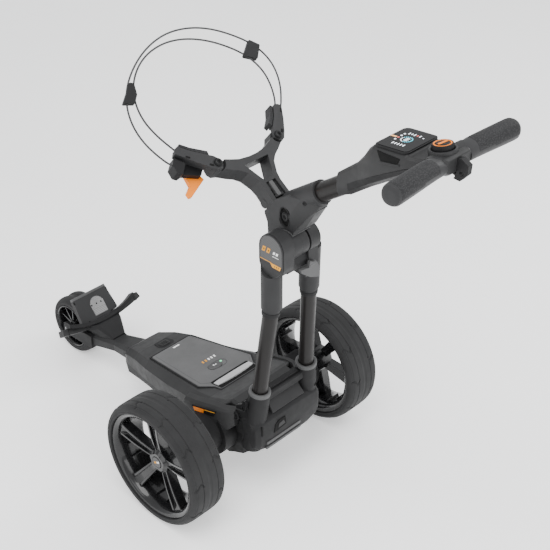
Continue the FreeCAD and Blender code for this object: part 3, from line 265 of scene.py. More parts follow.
def grip_material():
    """Soft rubber with rows of small raised dashes."""
    material = new_material("grip_rubber", (0.02, 0.02, 0.021), 0.68, sheen=0.03,
                            specular=GRAIN_SPECULAR)
    place = add(material, "ShaderNodeTexCoord")
    mapping = add(material, "ShaderNodeMapping")
    mapping.inputs["Scale"].default_value = (1, 1.6, 1.6)
    link(material, place.outputs["Object"], mapping.inputs["Vector"])
    cells = add(material, "ShaderNodeTexVoronoi", Scale=260.0)
    link(material, mapping.outputs["Vector"], cells.inputs["Vector"])
    shader = material.node_tree.nodes["Principled BSDF"]
    dots = spread(material, cells.outputs["Distance"], 1.0, 0.0, (0.15, 0.6))
    link(material, tint(material, dots, (0.014, 0.014, 0.015), (0.028, 0.028, 0.029)),
         shader.inputs["Base Color"])
    relief(material, dots, 0.5, 0.0004, 0.0006)
    return material


LOOKS = {
    "tyre_rubber": rubber("tyre", (0.021, 0.021, 0.0215), 0.8),
    "gloss_black": moulded("gloss_black", (0.007, 0.007, 0.0075), 0.24, 200.0, 0.00002, 0.1,
                           coat=0.5, edge_lift=0.1),
    "charcoal_plastic": moulded("charcoal", (0.024, 0.024, 0.0245), 0.5),
    "dark_plastic": moulded("dark_plastic", (0.0115, 0.0115, 0.012), 0.55),
    "satin_grey_plastic": moulded("satin_grey", (0.024, 0.024, 0.0248), 0.48),
    "frame_tube_paint": moulded("tube_paint", (0.0088, 0.0078, 0.0076), 0.4, 1400.0, 0.00005,
                                0.08, coat=0.1),
    "steel": metal("steel", (0.5, 0.5, 0.51), 0.34),
    "silver_trim": moulded("silver", (0.36, 0.36, 0.365), 0.36, 500.0, 0.00005),
    "display_black": moulded("screen_glass", (0.004, 0.004, 0.0045), 0.2, 60.0, 0.00001, 0.05,
                             specular=0.12, edge_lift=0.0),
    "soft_rubber": grip_material(),
    "accent_orange": moulded("orange", (0.78, 0.2, 0.008), 0.4, 900.0, 0.00006, 0.05, edge_lift=0.1),
    "control_black": moulded("control_black", (0.007, 0.007, 0.0075), 0.45),
    "elastic_cord": cord_material(),
}
EXTRA = {
    "lid": moulded("lid_grey", (0.085, 0.085, 0.086), 0.42),
    "lid_side": moulded("lid_side", (0.06, 0.06, 0.061), 0.5),
    "light_grey": moulded("light_grey", (0.14, 0.14, 0.141), 0.42),
    "pale_grey": moulded("pale_grey", (0.27, 0.27, 0.27), 0.45),
    # near-black: painted shade in slots, pockets and recesses, and also black print and screws
    "gap": moulded("gap", (0.004, 0.004, 0.004), 0.8, edge_lift=0.0),
    "gold": moulded("gold_print", (0.62, 0.28, 0.03), 0.45, edge_lift=0.0),
    "white": moulded("white_print", (0.8, 0.8, 0.8), 0.45, edge_lift=0.0),
    "screen_white": glow("screen_white", (0.85, 0.9, 0.95), 0.9),
    "screen_cyan": glow("screen_cyan", (0.1, 0.6, 0.75), 0.9),
    "screen_red": glow("screen_red", (0.7, 0.12, 0.1), 0.7),
    "screen_orange": glow("screen_orange", (0.9, 0.45, 0.15), 0.6),
    "green": glow("lamp_green", (0.15, 0.7, 0.35), 0.8),
    "satin_light": moulded("satin_light", (0.07, 0.07, 0.071), 0.44),
    "dark_grip": rubber("grip_band", (0.024, 0.024, 0.025), 0.5),
    "cap_weave": weave_material(),
}


def look(name):
    return LOOKS.get(name) or EXTRA[name]


for name, node in nodes.items():
    node.data.materials.clear()
    node.data.materials.append(look(node_slot[name]))

for name, other in (("battery_lid", "lid"), ("fold_lever", "satin_light"),
                    ("hinge_caps", "charcoal_plastic")):
    nodes[name].data.materials[0] = look(other)


# --- Building pieces ---
def piece(name, verts, faces, body, looks, replaces=(), slot=None, edges=0.0, angle=32,
          matrix=None, pick=None):
    """A mesh that rides on a body, in one look, or in several that pick chooses between.

    slot is the record's slot, where that isn't the usual one for the look; it is not used.
    """
    looks = [looks] if isinstance(looks, str) else looks
    mesh = bpy.data.meshes.new(name)
    mesh.from_pydata([tuple(v) for v in verts], [], faces)
    if matrix is not None:
        mesh.transform(matrix)
    tidy = bmesh.new()
    tidy.from_mesh(mesh)
    bmesh.ops.recalc_face_normals(tidy, faces=tidy.faces)
    tidy.to_mesh(mesh)
    tidy.free()
    for look_name in looks:
        mesh.materials.append(look(look_name))
    for polygon in mesh.polygons:
        polygon.use_smooth = True
        if pick:
            polygon.material_index = pick(polygon.center)
    mesh.set_sharp_from_angle(angle=math.radians(angle))
    obj = bpy.data.objects.new(name, mesh)
    bpy.context.scene.collection.objects.link(obj)
    if edges:
        rounded = obj.modifiers.new("edges", "BEVEL")
        rounded.width = edges
        rounded.segments = 3
        rounded.limit_method = "ANGLE"
        rounded.angle_limit = math.radians(28)
        rounded.harden_normals = True
    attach(obj, body)
    if replaces:
        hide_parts(*replaces)


def ring_faces(rings, count, closed_loop=False):
    """Quads between rings of equal count, listed one after another."""
    faces = []
    pairs = rings if closed_loop else rings - 1
    for i in range(pairs):
        a, b = i * count, ((i + 1) % rings) * count
        for k in range(count):
            n = (k + 1) % count
            faces.append((a + k, a + n, b + n, b + k))
    if not closed_loop:
        faces.append(tuple(range(count))[::-1])
        faces.append(tuple((rings - 1) * count + k for k in range(count)))
    return faces


def lathe(name, profile, turns, matrix, body, looks, shape=None, **more):
    """Turns a closed (radius, height) profile about local Z. shape may change each point."""
    verts = []
    for i in range(turns):
        angle = 2 * math.pi * i / turns
        for radius, height in profile:
            if shape:
                radius, height = shape(radius, height, angle)
            verts.append((radius * math.cos(angle), radius * math.sin(angle), height))
    faces = ring_faces(turns, len(profile), closed_loop=True)
    piece(name, verts, faces, body, looks, matrix=matrix, **more)


def slab(name, outline, low, high, matrix, body, looks, **more):
    """A flat outline in local XY between two local heights."""
    verts = [(x, y, z) for z in (low, high) for x, y in outline]
    piece(name, verts, ring_faces(2, len(outline)), body, looks, matrix=matrix, **more)


def loft(name, rings, body, looks, closed_loop=False, **more):
    verts = [p for ring in rings for p in ring]
    faces = ring_faces(len(rings), len(rings[0]), closed_loop)
    piece(name, verts, faces, body, looks, **more)


def border(name, outer, inner, heights, matrix, body, look_name, **more):
    """A flat ring between two outlines: its bottom, outer edge, inner edge and bottom again."""
    rings = [[(x, y, z) for x, y in outline]
             for outline, z in zip((outer, outer, inner, inner), heights)]
    loft(name, rings, body, look_name, closed_loop=True, matrix=matrix, **more)


def oval(half_x, half_y, count=32, centre=(0, 0), power=2.0):
    """A superellipse outline."""
    points = []
    for k in range(count):
        a = 2 * math.pi * k / count
        c, s = math.cos(a), math.sin(a)
        points.append((centre[0] + half_x * math.copysign(abs(c) ** (2 / power), c),
                       centre[1] + half_y * math.copysign(abs(s) ** (2 / power), s)))
    return points


def stadium(half_x, half_y, count=12):
    """A stadium outline, long in Y."""
    points = []
    for k in range(count + 1):
        a = math.pi * k / count
        points.append((half_x * math.cos(a), half_y - half_x + half_x * math.sin(a)))
    for k in range(count + 1):
        a = math.pi + math.pi * k / count
        points.append((half_x * math.cos(a), half_x - half_y + half_x * math.sin(a)))
    return points


def rounded_box(half_x, half_y, corner, count=6, centre=(0, 0)):
    points = []
    for quarter, (sx, sy) in enumerate(((1, 1), (-1, 1), (-1, -1), (1, -1))):
        for k in range(count + 1):
            a = math.pi / 2 * (quarter + k / count)
            points.append((centre[0] + sx * (half_x - corner) + corner * math.cos(a),
                           centre[1] + sy * (half_y - corner) + corner * math.sin(a)))
    return points


def slanted_bar(x, width, lean, foot, top):
    """A bar whose top is shifted by its lean."""
    return [(x, foot), (x + width, foot), (x + width + lean, top), (x + lean, top)]


def turned(degrees, axis="Z"):
    return Matrix.Rotation(math.radians(degrees), 4, axis)


def wheel_frame(centre, side):
    """Local Z along the axle, away from the trolley's middle."""
    return Matrix.Translation(centre) @ turned(90 * side, "Y")


def mirrored(half):
    """Half of an outline in (x, z), and its mirror image back again."""
    return half + [(-x, z) for x, z in reversed(half)]


def side_plane(x):
    """Local X along Y and local Y up, with local Z along X, at a place across the trolley."""
    return Matrix(((0, 0, 1, x), (1, 0, 0, 0), (0, 1, 0, 0), (0, 0, 0, 1)))


def back_plane(y):
    """Local X across, local Y up and local Z toward the front, at a place in Y."""
    return Matrix(((1, 0, 0, 0), (0, 0, -1, y), (0, 1, 0, 0), (0, 0, 0, 1)))


def resampled(points, step):
    """A polyline's points with more put in, no further apart than a step."""
    out = []
    for (r0, h0), (r1, h1) in zip(points, points[1:] + points[:1]):
        count = max(1, math.ceil(math.hypot(r1 - r0, h1 - h0) / step))
        out += [(r0 + (r1 - r0) * k / count, h0 + (h1 - h0) * k / count) for k in range(count)]
    return out


# --- Rear wheels ---
TREAD_CUTS = 11
CUT_DEPTH = 0.0026
SPOKE_FOOT, SPOKE_TIP = 0.0215, 0.115


def tread_cut(height, angle, radius):
    """How deep an S-shaped shoulder cut is at a place on the tyre, from 0 to 1."""
    along = (abs(height) - 0.017) / 0.027
    if not 0 < along < 1:
        return 0.0
    pitch = 2 * math.pi / TREAD_CUTS
    shift = 0.5 * pitch if height < 0 else 0.0
    curve = 0.045 * math.sin(2 * math.pi * (along - 0.1)) + 0.03 * along
    offset = (angle - shift - curve + pitch / 2) % pitch - pitch / 2
    width = 0.0034 * math.sin(math.pi * along) ** 0.6 + 0.0004
    return max(0.0, 1 - (offset * radius / width) ** 2) ** 0.5


def rear_wheel(word, side):
    matrix = wheel_frame(joint_place[f"{word}_wheel_turn"], side)
    body = f"{word}_wheel"
    half = [(0.1201, 0.038), (0.1302, 0.038), (0.1302, 0.0455), (0.1315, 0.0468),
            (0.1345, 0.0468), (0.1352, 0.046), (0.136, 0.0468), (0.14, 0.0464), (0.144, 0.044),
            (0.1466, 0.04), (0.1472, 0.0392), (0.1468, 0.038), (0.1484, 0.0365), (0.1494, 0.03),
            (0.1498, 0.0222), (0.1486, 0.0214), (0.1486, 0.02), (0.1499, 0.0192), (0.15, 0.004),
            (0.1494, 0.003)]
    profile = resampled(half + [(r, -h) for r, h in reversed(half)], 0.0028)

    def cut_into(radius, height, angle):
        depth = CUT_DEPTH * tread_cut(height, angle, radius) if radius > 0.137 else 0.0
        return radius - depth, height - math.copysign(depth * 0.5, height)

    lathe(f"tyre_{word}", profile, 400, matrix, body, "tyre_rubber", cut_into,
          replaces=[f"rear_tyre_{word}"], angle=40)
    barrel = [(0.1288, 0.0425), (0.1262, 0.0432), (0.1225, 0.0418), (0.119, 0.0392),
              (0.1166, 0.035), (0.1152, 0.029), (0.113, 0.024), (0.113, -0.03), (0.116, -0.037),
              (0.1225, -0.0418), (0.1262, -0.043), (0.1288, -0.0425), (0.1288, -0.0381),
              (0.1199, -0.0379), (0.1199, 0.0379), (0.1288, 0.0381)]
    lathe(f"rim_{word}", barrel, 160, matrix, body, "gloss_black",
          replaces=[f"rear_rim_{word}"])
    hub = [(0.0134, 0.022), (0.015, 0.0236), (0.0215, 0.0236), (0.0235, 0.0215),
           (0.029, 0.0165), (0.031, 0.01), (0.03, -0.006), (0.027, -0.033), (0.0082, -0.0338),
           (0.0082, 0.0078), (0.0134, 0.008)]

    def five_sided(radius, height, angle):
        if radius < 0.02:
            return radius, height
        return radius * (1 + 0.07 * math.cos(5 * (angle - math.radians(36)))), height

    lathe(f"hub_{word}", hub, 100, matrix, body, "gloss_black", five_sided, angle=25)
    for k in range(5):
        spoke(f"spoke_{word}_{k}", matrix @ turned(36 + 72 * k), body)
    for k in range(10):
        degrees = 36 * k + 18 + (9 if k % 2 else -9)
        web = matrix @ turned(degrees) @ Matrix.Translation((0.1105, 0, 0.004))
        slab(f"gusset_{word}_{k}", rounded_box(0.003, 0.0012, 0.0008, 3), -0.024, 0.014, web,
             body, "gloss_black")
    badge = matrix @ Matrix.Translation((0, 0, 0.0242)) @ turned(118 if side > 0 else 62)
    for k, colour in enumerate(("gold", "gold", "white", "white")):
        bar = slanted_bar((k - 1.5) * 0.0048 - 0.0028, 0.0036, 0.0018, -0.0024, 0.0024)
        slab(f"hub_mark_{word}_{k}", bar, -0.0002, 0.0001, badge, f"{word}_wheel_button",
             colour, slot="gloss_black")


def spoke(name, matrix, body):
    """A twin-rib spoke with a sunken channel, along local X."""
    rings = []
    for step in range(13):
        t = step / 12
        r = SPOKE_FOOT + (SPOKE_TIP - SPOKE_FOOT) * t
        width = 0.0105 + 0.0058 * t + 0.0018 * max(0.0, t - 0.85) / 0.15
        top = 0.0166 + 0.015 * t + 0.0022 * math.sin(math.pi * t)
        back = -0.005 + 0.015 * t
        deep = 0.0075 * min(1.0, 4.0 * t, 6.0 * (1.02 - t))
        rib = width * 0.4
        half = [(width, back), (width, top - 0.0012), (width - 0.0009, top), (width - rib, top),
                (width - rib - 0.0012, top - deep), (0.0, top - deep)]
        across = half + [(-w, z) for w, z in reversed(half[:-1])]
        rings.append([(r, w, z) for w, z in across])
    loft(name, rings, body, "gloss_black", matrix=matrix, angle=25, edges=0.0006)


for word, side in SIDES.items():
    rear_wheel(word, side)


# --- Front wheel ---
def front_tyre():
    half = [(0.0581, 0.028), (0.06, 0.0325), (0.068, 0.033), (0.0688, 0.0322), (0.0697, 0.033),
            (0.072, 0.0318), (0.0752, 0.0285), (0.0774, 0.0235), (0.0783, 0.018),
            (0.0785, 0.013), (0.078, 0.009), (0.0756, 0.0066), (0.075, 0.003), (0.075, 0.0)]
    profile = resampled(half + [(r, -h) for r, h in reversed(half[:-1])], 0.002)
    lathe("front_tread", profile, 180, wheel_frame(FRONT_AXLE, 1), "front_wheel", "tyre_rubber",
          replaces=["front_tyre"], angle=40)


front_tyre()


# --- Camera, light and floor ---
CAMERA_PLACE = (1.4897, 1.6101, 1.9105)
CAMERA_ANGLES = (134.0, 33.23)
FLOOR_REACH = 14.0
LAMPS = {"key": ((1.2, 0.6, 3.2), (0, 0, 0.4), 70, 1.8),
         "left_fill": ((2.8, 0.3, 1.8), (0, 0, 0.5), 20, 1.6),
         "rear_fill": ((0.2, 3.0, 1.4), (0, 0, 0.5), 34, 1.8),
         "right_rim": ((-2.6, 0.8, 2.2), (0, 0, 0.5), 40, 1.4)}


def linked(name, data):
    obj = bpy.data.objects.new(name, data)
    bpy.context.scene.collection.objects.link(obj)
    return obj


def aim(obj, place, way):
    """Puts a camera or lamp at a place, looking along a direction."""
    obj.location = place
    obj.rotation_mode = "QUATERNION"
    obj.rotation_quaternion = way.to_track_quat("-Z", "Y")


def stage_and_light():
    camera = linked("camera", bpy.data.cameras.new("camera"))
    azimuth, elevation = (math.radians(angle) for angle in CAMERA_ANGLES)
    back = Vector((math.sin(azimuth) * math.cos(elevation),
                   -math.cos(azimuth) * math.cos(elevation), math.sin(elevation)))
    aim(camera, CAMERA_PLACE, -back)
    camera.data.lens = 77.13
    camera.data.sensor_width = 36.0
    bpy.context.scene.camera = camera

    world = bpy.data.worlds.new("studio")
    world.use_nodes = True
    sky = world.node_tree.nodes["Background"]
    sky.inputs["Color"].default_value = (0.94, 0.95, 0.96, 1)
    sky.inputs["Strength"].default_value = 1.3
    bpy.context.scene.world = world

    for name, (place, target, power, width) in LAMPS.items():
        lamp = bpy.data.lights.new(name, "AREA")
        lamp.energy = power
        lamp.size = width
        aim(linked(name, lamp), place, Vector(target) - Vector(place))

    floor_mesh = bpy.data.meshes.new("floor")
    corners = [(x * FLOOR_REACH, y * FLOOR_REACH, 0)
               for x, y in ((-1, -1), (1, -1), (1, 1), (-1, 1))]
    floor_mesh.from_pydata(corners, [], [(0, 1, 2, 3)])
    floor = linked("floor", floor_mesh)
    paper = new_material("floor_paper", (0.92, 0.92, 0.92), 0.9, specular=0.1)
    shader = paper.node_tree.nodes["Principled BSDF"]
    tone = spread(paper, object_noise(paper, 0.7), 0.0, 1.0)
    link(paper, tint(paper, tone, (0.9, 0.9, 0.9), (0.94, 0.94, 0.94)),
         shader.inputs["Base Color"])
    shader.inputs["Emission Color"].default_value = (1, 1, 1, 1)
    shader.inputs["Emission Strength"].default_value = 0.45
    floor_mesh.materials.append(paper)


stage_and_light()


# --- Elastic strap ---
# Routes in the bag frame, in millimetres: the same points as the CAD tube's
OUTER_STRAP = [(162, 17), (178.7, 40.9), (189.7, 64.9), (198.7, 94.9), (200.7, 124.9),
               (195.7, 154.9), (183.7, 183.9), (163.7, 212.9), (136.7, 237.9), (104.7, 259.9),
               (71.7, 276.9), (37.7, 288.9), (0.7, 295.9), (-38.3, 294.9), (-77.3, 285.9),
               (-113.3, 268.9), (-146.3, 243.9), (-174.3, 215.9), (-191.3, 185.9),
               (-196.3, 152.9), (-189.3, 120.9), (-175.3, 92.9), (-160.3, 72.9), (-147, 57),
               (-132, 44)]
INNER_STRAP = [(144, 50), (157.7, 82.9), (165.7, 107.9), (170.7, 136.9), (167.7, 166.9),
               (156.7, 196.9), (137.7, 223.9), (111.7, 246.9), (81.7, 263.9), (49.7, 273.9),
               (15.7, 277.9), (-18.3, 274.9), (-52.3, 264.9), (-85.3, 247.9), (-115.3, 224.9),
               (-141.3, 197.9), (-157.3, 167.9), (-162.3, 136.9), (-157.3, 108.9),
               (-147.3, 82.9), (-135, 63), (-122, 50)]
CORD_DEPTH = 0.011
CORD_DIAMETER = 0.004


def strap(name, route, node):
    curve = bpy.data.curves.new(name, "CURVE")
    curve.dimensions = "3D"
    curve.bevel_depth = CORD_DIAMETER / 2
    curve.bevel_resolution = 5
    curve.use_fill_caps = True
    curve.resolution_u = 10
    line = curve.splines.new("NURBS")
    line.points.add(len(route) - 1)
    places = [BAG @ Vector((x / 1000, y / 1000, CORD_DEPTH)) for x, y in route]
    for point, place in zip(line.points, places):
        point.co = (*place, 1)
    line.order_u = 3
    line.use_endpoint_u = True
    curve.materials.append(look("elastic_cord"))
    obj = linked(name, curve)
    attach(obj, "bag_support")
    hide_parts(node)


strap("cord_outer", OUTER_STRAP, "strap_outer")
strap("cord_inner", INNER_STRAP, "strap_inner")


# --- Handle head, grips, screen and dial ---
# Place along the trolley, half width, and the heights of the foot, the waist and the top
HEAD_STATIONS = [(0.352, 0.0235, 0.821, 0.846, 0.873), (0.38, 0.0265, 0.835, 0.866, 0.896),
                 (0.404, 0.031, 0.853, 0.883, 0.9155), (0.425, 0.0385, 0.869, 0.897, 0.94),
                 (0.441, 0.0455, 0.881, 0.908, 0.9625), (0.454, 0.0488, 0.89, 0.917, 0.9752),
                 (0.49, 0.0492, 0.914, 0.938, 0.9782), (0.526, 0.0488, 0.938, 0.958, 0.9814),
                 (0.531, 0.048, 0.941, 0.96, 0.9775), (0.545, 0.044, 0.946, 0.963, 0.978),
                 (0.562, 0.04, 0.952, 0.966, 0.9815), (0.58, 0.04, 0.956, 0.968, 0.988),
                 (0.597, 0.0395, 0.9585, 0.972, 0.993), (0.6038, 0.036, 0.962, 0.975, 0.99)]


def handle_head():
    rings = []
    for y, wide, low, middle, top in HEAD_STATIONS:
        half = [(wide * 0.62, low), (wide * 0.92, low + (middle - low) * 0.45), (wide, middle),
                (wide * 0.985, top - 0.006), (wide * 0.86, top)]
        rings.append([(x, y, z) for x, z in mirrored(half)])
    loft("head_cover", rings, "upper_frame", "charcoal_plastic", replaces=["handle_cover"],
         edges=0.0022, angle=30)
    under = []
    for y, wide, low, middle, _ in HEAD_STATIONS[1:-1]:
        half = [(wide * 0.55, low - 0.0016), (wide * 0.9, low + (middle - low) * 0.34),
                (wide * 1.005, middle - 0.004)]
        under.append([(x, y, z) for x, z in mirrored(half)])
    loft("head_base", under, "upper_frame", "dark_plastic", replaces=["handle_base"],
         edges=0.0015, angle=30)
    for word, side in SIDES.items():
        matrix = side_plane(side * 0.0487)
        # a near-black sheet on the side pocket: painted shade in place of the pocket's depth
        pocket = [(0.465, 0.97), (0.474, 0.952), (0.5, 0.956), (0.512, 0.96), (0.516, 0.97)]
        slab(f"side_pocket_shade_{word}", pocket, -0.002, 0.0012, matrix, "upper_frame", "gap",
             slot="dark_plastic", edges=0.0008)
        lip = [(0.4715, 0.9475), (0.4735, 0.9475), (0.515, 0.9555), (0.5165, 0.959),
               (0.501, 0.9565), (0.474, 0.952)]
        slab(f"pocket_lip_{word}", lip, -0.002, 0.0022, matrix, "upper_frame",
             "satin_grey_plastic", edges=0.0006)
    screen = rounded_box(0.0435, 0.0345, 0.009, 8)
    slab("screen", screen, -0.003, 0.0006, DISPLAY, "upper_frame", "display_black",
         replaces=["display_glass"], edges=0.0008)
    border("screen_rim", rounded_box(0.0468, 0.0375, 0.011, 8), screen,
           (-0.003, -0.0004, -0.0002, -0.003), DISPLAY, "upper_frame", "control_black",
           edges=0.0004)


def screen_marks():
    """A made-up screen: a ring gauge, bars and small dots."""
    def mark(name, outline, colour):
        slab(name, outline, 0.0005, 0.0008, DISPLAY, "upper_frame", colour,
             slot="display_black")

    for k in range(18):
        a = math.radians(20 * k)
        x, y = 0.0105 * math.cos(a), 0.0105 * math.sin(a)
        colour = "screen_cyan" if k < 13 else "screen_white"
        mark(f"gauge_{k}", oval(0.0013, 0.0013, 8, (x, y)), colour)
    for k in range(3):
        mark(f"digit_{k}", rounded_box(0.0012, 0.0038, 0.0005, 2, (-0.0045 + 0.0045 * k, 0)),
             "screen_white")
    for k in range(5):
        y = -0.012 + 0.006 * k
        mark(f"row_left_{k}", rounded_box(0.0035, 0.0011, 0.0004, 2, (0.0235, y)),
             "screen_white")
        mark(f"row_right_{k}", rounded_box(0.0026 if k % 2 else 0.0036, 0.0011, 0.0004, 2,
                                           (-0.0235, y)),
             "screen_red" if k == 3 else "screen_white")
    for k in range(4):
        mark(f"icon_{k}", oval(0.0022, 0.0022, 10, (-0.018 + 0.009 * k, -0.0185)),
             "screen_white" if k != 2 else "screen_red")
    mark("screen_bar", rounded_box(0.0022, 0.0065, 0.0008, 3, (0.0, -0.0285)), "screen_orange")
    mark("screen_dot", oval(0.0016, 0.0016, 10, (-0.02, 0.021)), "screen_white")


def dial():
    edge = [(0.0045, -0.0008), (0.0198, -0.0008), (0.02, 0.0002), (0.0196, 0.0085),
            (0.0186, 0.0102), (0.0172, 0.0105), (0.0168, 0.0092), (0.0136, 0.009),
            (0.0134, 0.0025), (0.0045, 0.0025)]

    def knurled(radius, height, angle):
        if radius > 0.0192 and height < 0.009:
            radius -= 0.0004 * (0.5 + 0.5 * math.cos(48 * angle))
        return radius, height

    lathe("dial_body", edge, 288, DIAL, "dial", "control_black", knurled,
          replaces=["speed_dial"], angle=40)
    ring = [(0.0139, 0.0091), (0.0139, 0.01), (0.0143, 0.0105), (0.0164, 0.0105),
            (0.0168, 0.01), (0.0168, 0.0091)]
    lathe("dial_ring", ring, 96, DIAL, "dial", "accent_orange")
    cap = [(0.0001, 0.0046), (0.0128, 0.0046), (0.0129, 0.0098), (0.0118, 0.0108),
           (0.0001, 0.011)]
    lathe("dial_cap", cap, 96, DIAL, "dial_press", "control_black", replaces=["dial_button"],
          slot="accent_orange")
    bar = rounded_box(0.0105, 0.003, 0.0025, 6)
    slab("dial_bar", bar, 0.0108, 0.0116, DIAL @ turned(-8), "dial_press", "accent_orange",
         edges=0.0004)
    collar = [(0.0212, -0.007), (0.0212, 0.0006), (0.0225, 0.0016), (0.025, 0.0014),
              (0.0262, -0.001), (0.0262, -0.007)]
    lathe("dial_collar", collar, 96, DIAL, "upper_frame", "satin_grey_plastic")


BAR = Vector((0, 0.583, 0.979))
BAR_SWEEP = math.radians(4.0)
# Distance out along the bar, half depth and half height
GRIP_STATIONS = [(0.036, 0.0205, 0.015), (0.044, 0.0205, 0.0165), (0.056, 0.02, 0.0182),
                 (0.072, 0.0196, 0.0192), (0.1, 0.0198, 0.0198), (0.14, 0.0202, 0.0203),
                 (0.16, 0.0203, 0.0204), (0.168, 0.0198, 0.02), (0.1722, 0.018, 0.0182),
                 (0.1738, 0.0145, 0.0147), (0.174, 0.009, 0.0092)]


def grip(word, side):
    """A grip that swells toward its end and flares into the head, with a lower band."""
    way = Vector((side * math.cos(BAR_SWEEP), math.sin(BAR_SWEEP), 0))
    across = Vector((-side * math.sin(BAR_SWEEP), math.cos(BAR_SWEEP), 0))
    rings = []
    for distance, deep, tall in GRIP_STATIONS:
        centre = BAR + way * distance - Vector((0, 0, max(0.0, 0.06 - distance) * 0.1))
        rings.append([centre + across * x + Vector((0, 0, z))
                      for x, z in oval(deep, tall, 40, power=2.25)])
    # a panel of patterned rubber on top, a smooth band below it
    split = BAR.z - 0.003

    def choose(centre):
        distance = abs(centre.x)
        top = centre.z > split + 0.004 * math.cos(distance * 12) and 0.06 < distance < 0.167
        return 0 if top else 1

    loft(f"grip_skin_{word}", rings, "upper_frame", ["soft_rubber", "dark_grip"],
         replaces=[f"grip_{word}"], slot="soft_rubber", angle=40, pick=choose)


def bar_hub():
    """The rounded middle of the T, where the grips flare into the head."""
    rings = []
    for step in range(-8, 9):
        t = step / 8
        x = 0.048 * t
        swell = math.cos(t * math.pi / 2)
        rings.append([(x, BAR.y - 0.004 * swell + a, BAR.z - 0.0035 * swell + b - 0.0015)
                      for a, b in oval(0.0205 + 0.0035 * swell, 0.0165 - 0.001 * swell, 36,
                                       power=2.4)])
    loft("bar_middle", rings, "upper_frame", "charcoal_plastic", replaces=["handle_bar"],
         angle=40)


handle_head()
screen_marks()
dial()
for word, side in SIDES.items():
    grip(word, side)
bar_hub()


# --- Chassis, lid and rear cover ---
def chassis_side(word, side):
    """The side panel inside the wheel, over the motor drum, with its badge."""
    stations = [(0.0, 0.12, 0.197, 0.176), (0.006, 0.1275, 0.204, 0.164),
                (0.04, 0.1285, 0.2125, 0.14), (0.075, 0.128, 0.2225, 0.136),
                (0.1, 0.1275, 0.23, 0.148), (0.124, 0.125, 0.2335, 0.166),
                (0.139, 0.116, 0.2335, 0.18), (0.148, 0.107, 0.231, 0.19)]
    rings = []
    for y, out, top, low in stations:
        half = [(out - 0.019, top + 0.005), (out - 0.006, top + 0.002),
                (out - 0.0008, top - 0.004), (out, top - 0.009), (out - 0.0005, low + 0.014),
                (out - 0.003, low + 0.002), (out - 0.012, low), (out - 0.019, low + 0.006),
                (out - 0.021, top - 0.004)]
        rings.append([(side * x, y, z) for x, z in half])
    loft(f"side_panel_{word}", rings, "chassis", "charcoal_plastic", edges=0.0018, angle=30)

    def tag(name, outline, lift, colour, slot):
        inner = [(side * (0.1265 if y < 0.1 else 0.1255), y, z) for y, z in outline]
        outer = [(side * (0.12855 + lift - max(0.0, y - 0.075) * 0.035), y, z)
                 for y, z in outline]
        piece(name, inner + outer, ring_faces(2, len(outline)), "chassis", colour, slot=slot)

    tag(f"badge_{word}", [(0.034, 0.201), (0.113, 0.2235), (0.104, 0.205), (0.042, 0.187)],
        0.0004, "gap", "control_black")
    tag(f"badge_patch_{word}", [(0.0375, 0.1985), (0.074, 0.209), (0.0715, 0.1975),
                                (0.043, 0.1895)], 0.0008, "accent_orange", "accent_orange")
    tag(f"badge_line_{word}", [(0.076, 0.2098), (0.109, 0.2192), (0.1075, 0.2172),
                               (0.0757, 0.2082)], 0.0008, "gold", "accent_orange")


# From the middle to the end: place across, front, back, low and top
COVER_STATIONS = [(0.0, 0.164, 0.22, 0.133, 0.231), (0.06, 0.164, 0.22, 0.136, 0.23),
                  (0.092, 0.164, 0.218, 0.143, 0.226), (0.103, 0.168, 0.212, 0.152, 0.218),
                  (0.106, 0.176, 0.204, 0.168, 0.205)]
COVER_FACE = 0.2205


def rear_cover():
    """A moulded cover round the feet of the sockets, between and outside them."""
    rings = []
    other_half = [(-x, *sizes) for x, *sizes in reversed(COVER_STATIONS[1:])]
    for x, front, back, low, top in other_half + COVER_STATIONS:
        height = top - low
        rings.append([(x, front, low + 0.004), (x, back - 0.016, low),
                      (x, back - 0.004, low + 0.008), (x, back, low + 0.02),
                      (x, back, low + height * 0.75), (x, back - 0.002, top - 0.008),
                      (x, back - 0.01, top), (x, front + 0.022, top + 0.01),
                      (x, front, top + 0.004)])
    loft("rear_cover", rings, "lower_frame", "dark_plastic",
         replaces=["rear_panel", "socket_casting"], edges=0.004, angle=38)
    rail = [(0.179, 0.265), (0.204, 0.265), (0.206, 0.268), (0.206, 0.283), (0.203, 0.286),
            (0.18, 0.286)]
    slab("upper_rail", rail, -0.058, 0.058, side_plane(0), "lower_frame", "dark_plastic",
         edges=0.0016)
    shelf = [(-0.051, 0.215, 0.233), (0.051, 0.215, 0.233), (0.049, 0.196, 0.256),
             (-0.049, 0.196, 0.256)]
    under = [(x, y - 0.01, z - 0.006) for x, y, z in shelf]
    piece("rear_shelf", shelf + under, ring_faces(2, 4), "lower_frame", "charcoal_plastic",
          edges=0.002)
    hollow = [(-0.05, 0.252), (0.05, 0.252), (0.047, 0.292), (-0.047, 0.292)]
    slab("rear_recess", hollow, -0.002, 0.012, back_plane(0.196), "lower_frame", "dark_plastic",
         edges=0.002)
    face = back_plane(COVER_FACE)
    for k, (z, half, wide) in enumerate(((0.164, 0.054, 0.0034), (0.151, 0.056, 0.0028))):
        slab(f"cover_band_{k}", rounded_box(half, wide, 0.0024, 4, (0.022, z)), -0.0012, 0.004,
             face, "lower_frame", "satin_light", edges=0.0008)
    port = [(0.014, 0.186), (0.054, 0.182), (0.05, 0.203), (0.039, 0.21), (0.017, 0.21)]
    slab("charge_port", port, -0.001, 0.004, face, "lower_frame", "gap", edges=0.001)
    slab("port_flap", [(0.019, 0.192), (0.042, 0.1895), (0.038, 0.201), (0.024, 0.204)], -0.002,
         0.002, face, "lower_frame", "charcoal_plastic", slot="dark_plastic", edges=0.0008)
    # the slot in near-black: painted shade in place of its depth
    slab("cover_slot", rounded_box(0.0022, 0.013, 0.002, 4, (0.089, 0.205)), -0.0012, 0.012,
         back_plane(COVER_FACE - 0.002), "lower_frame", "gap")


TUBE_FOOT = (0.074, 0.197, 0.297)
TUBE_HEAD = (0.0575, 0.216, 0.515)


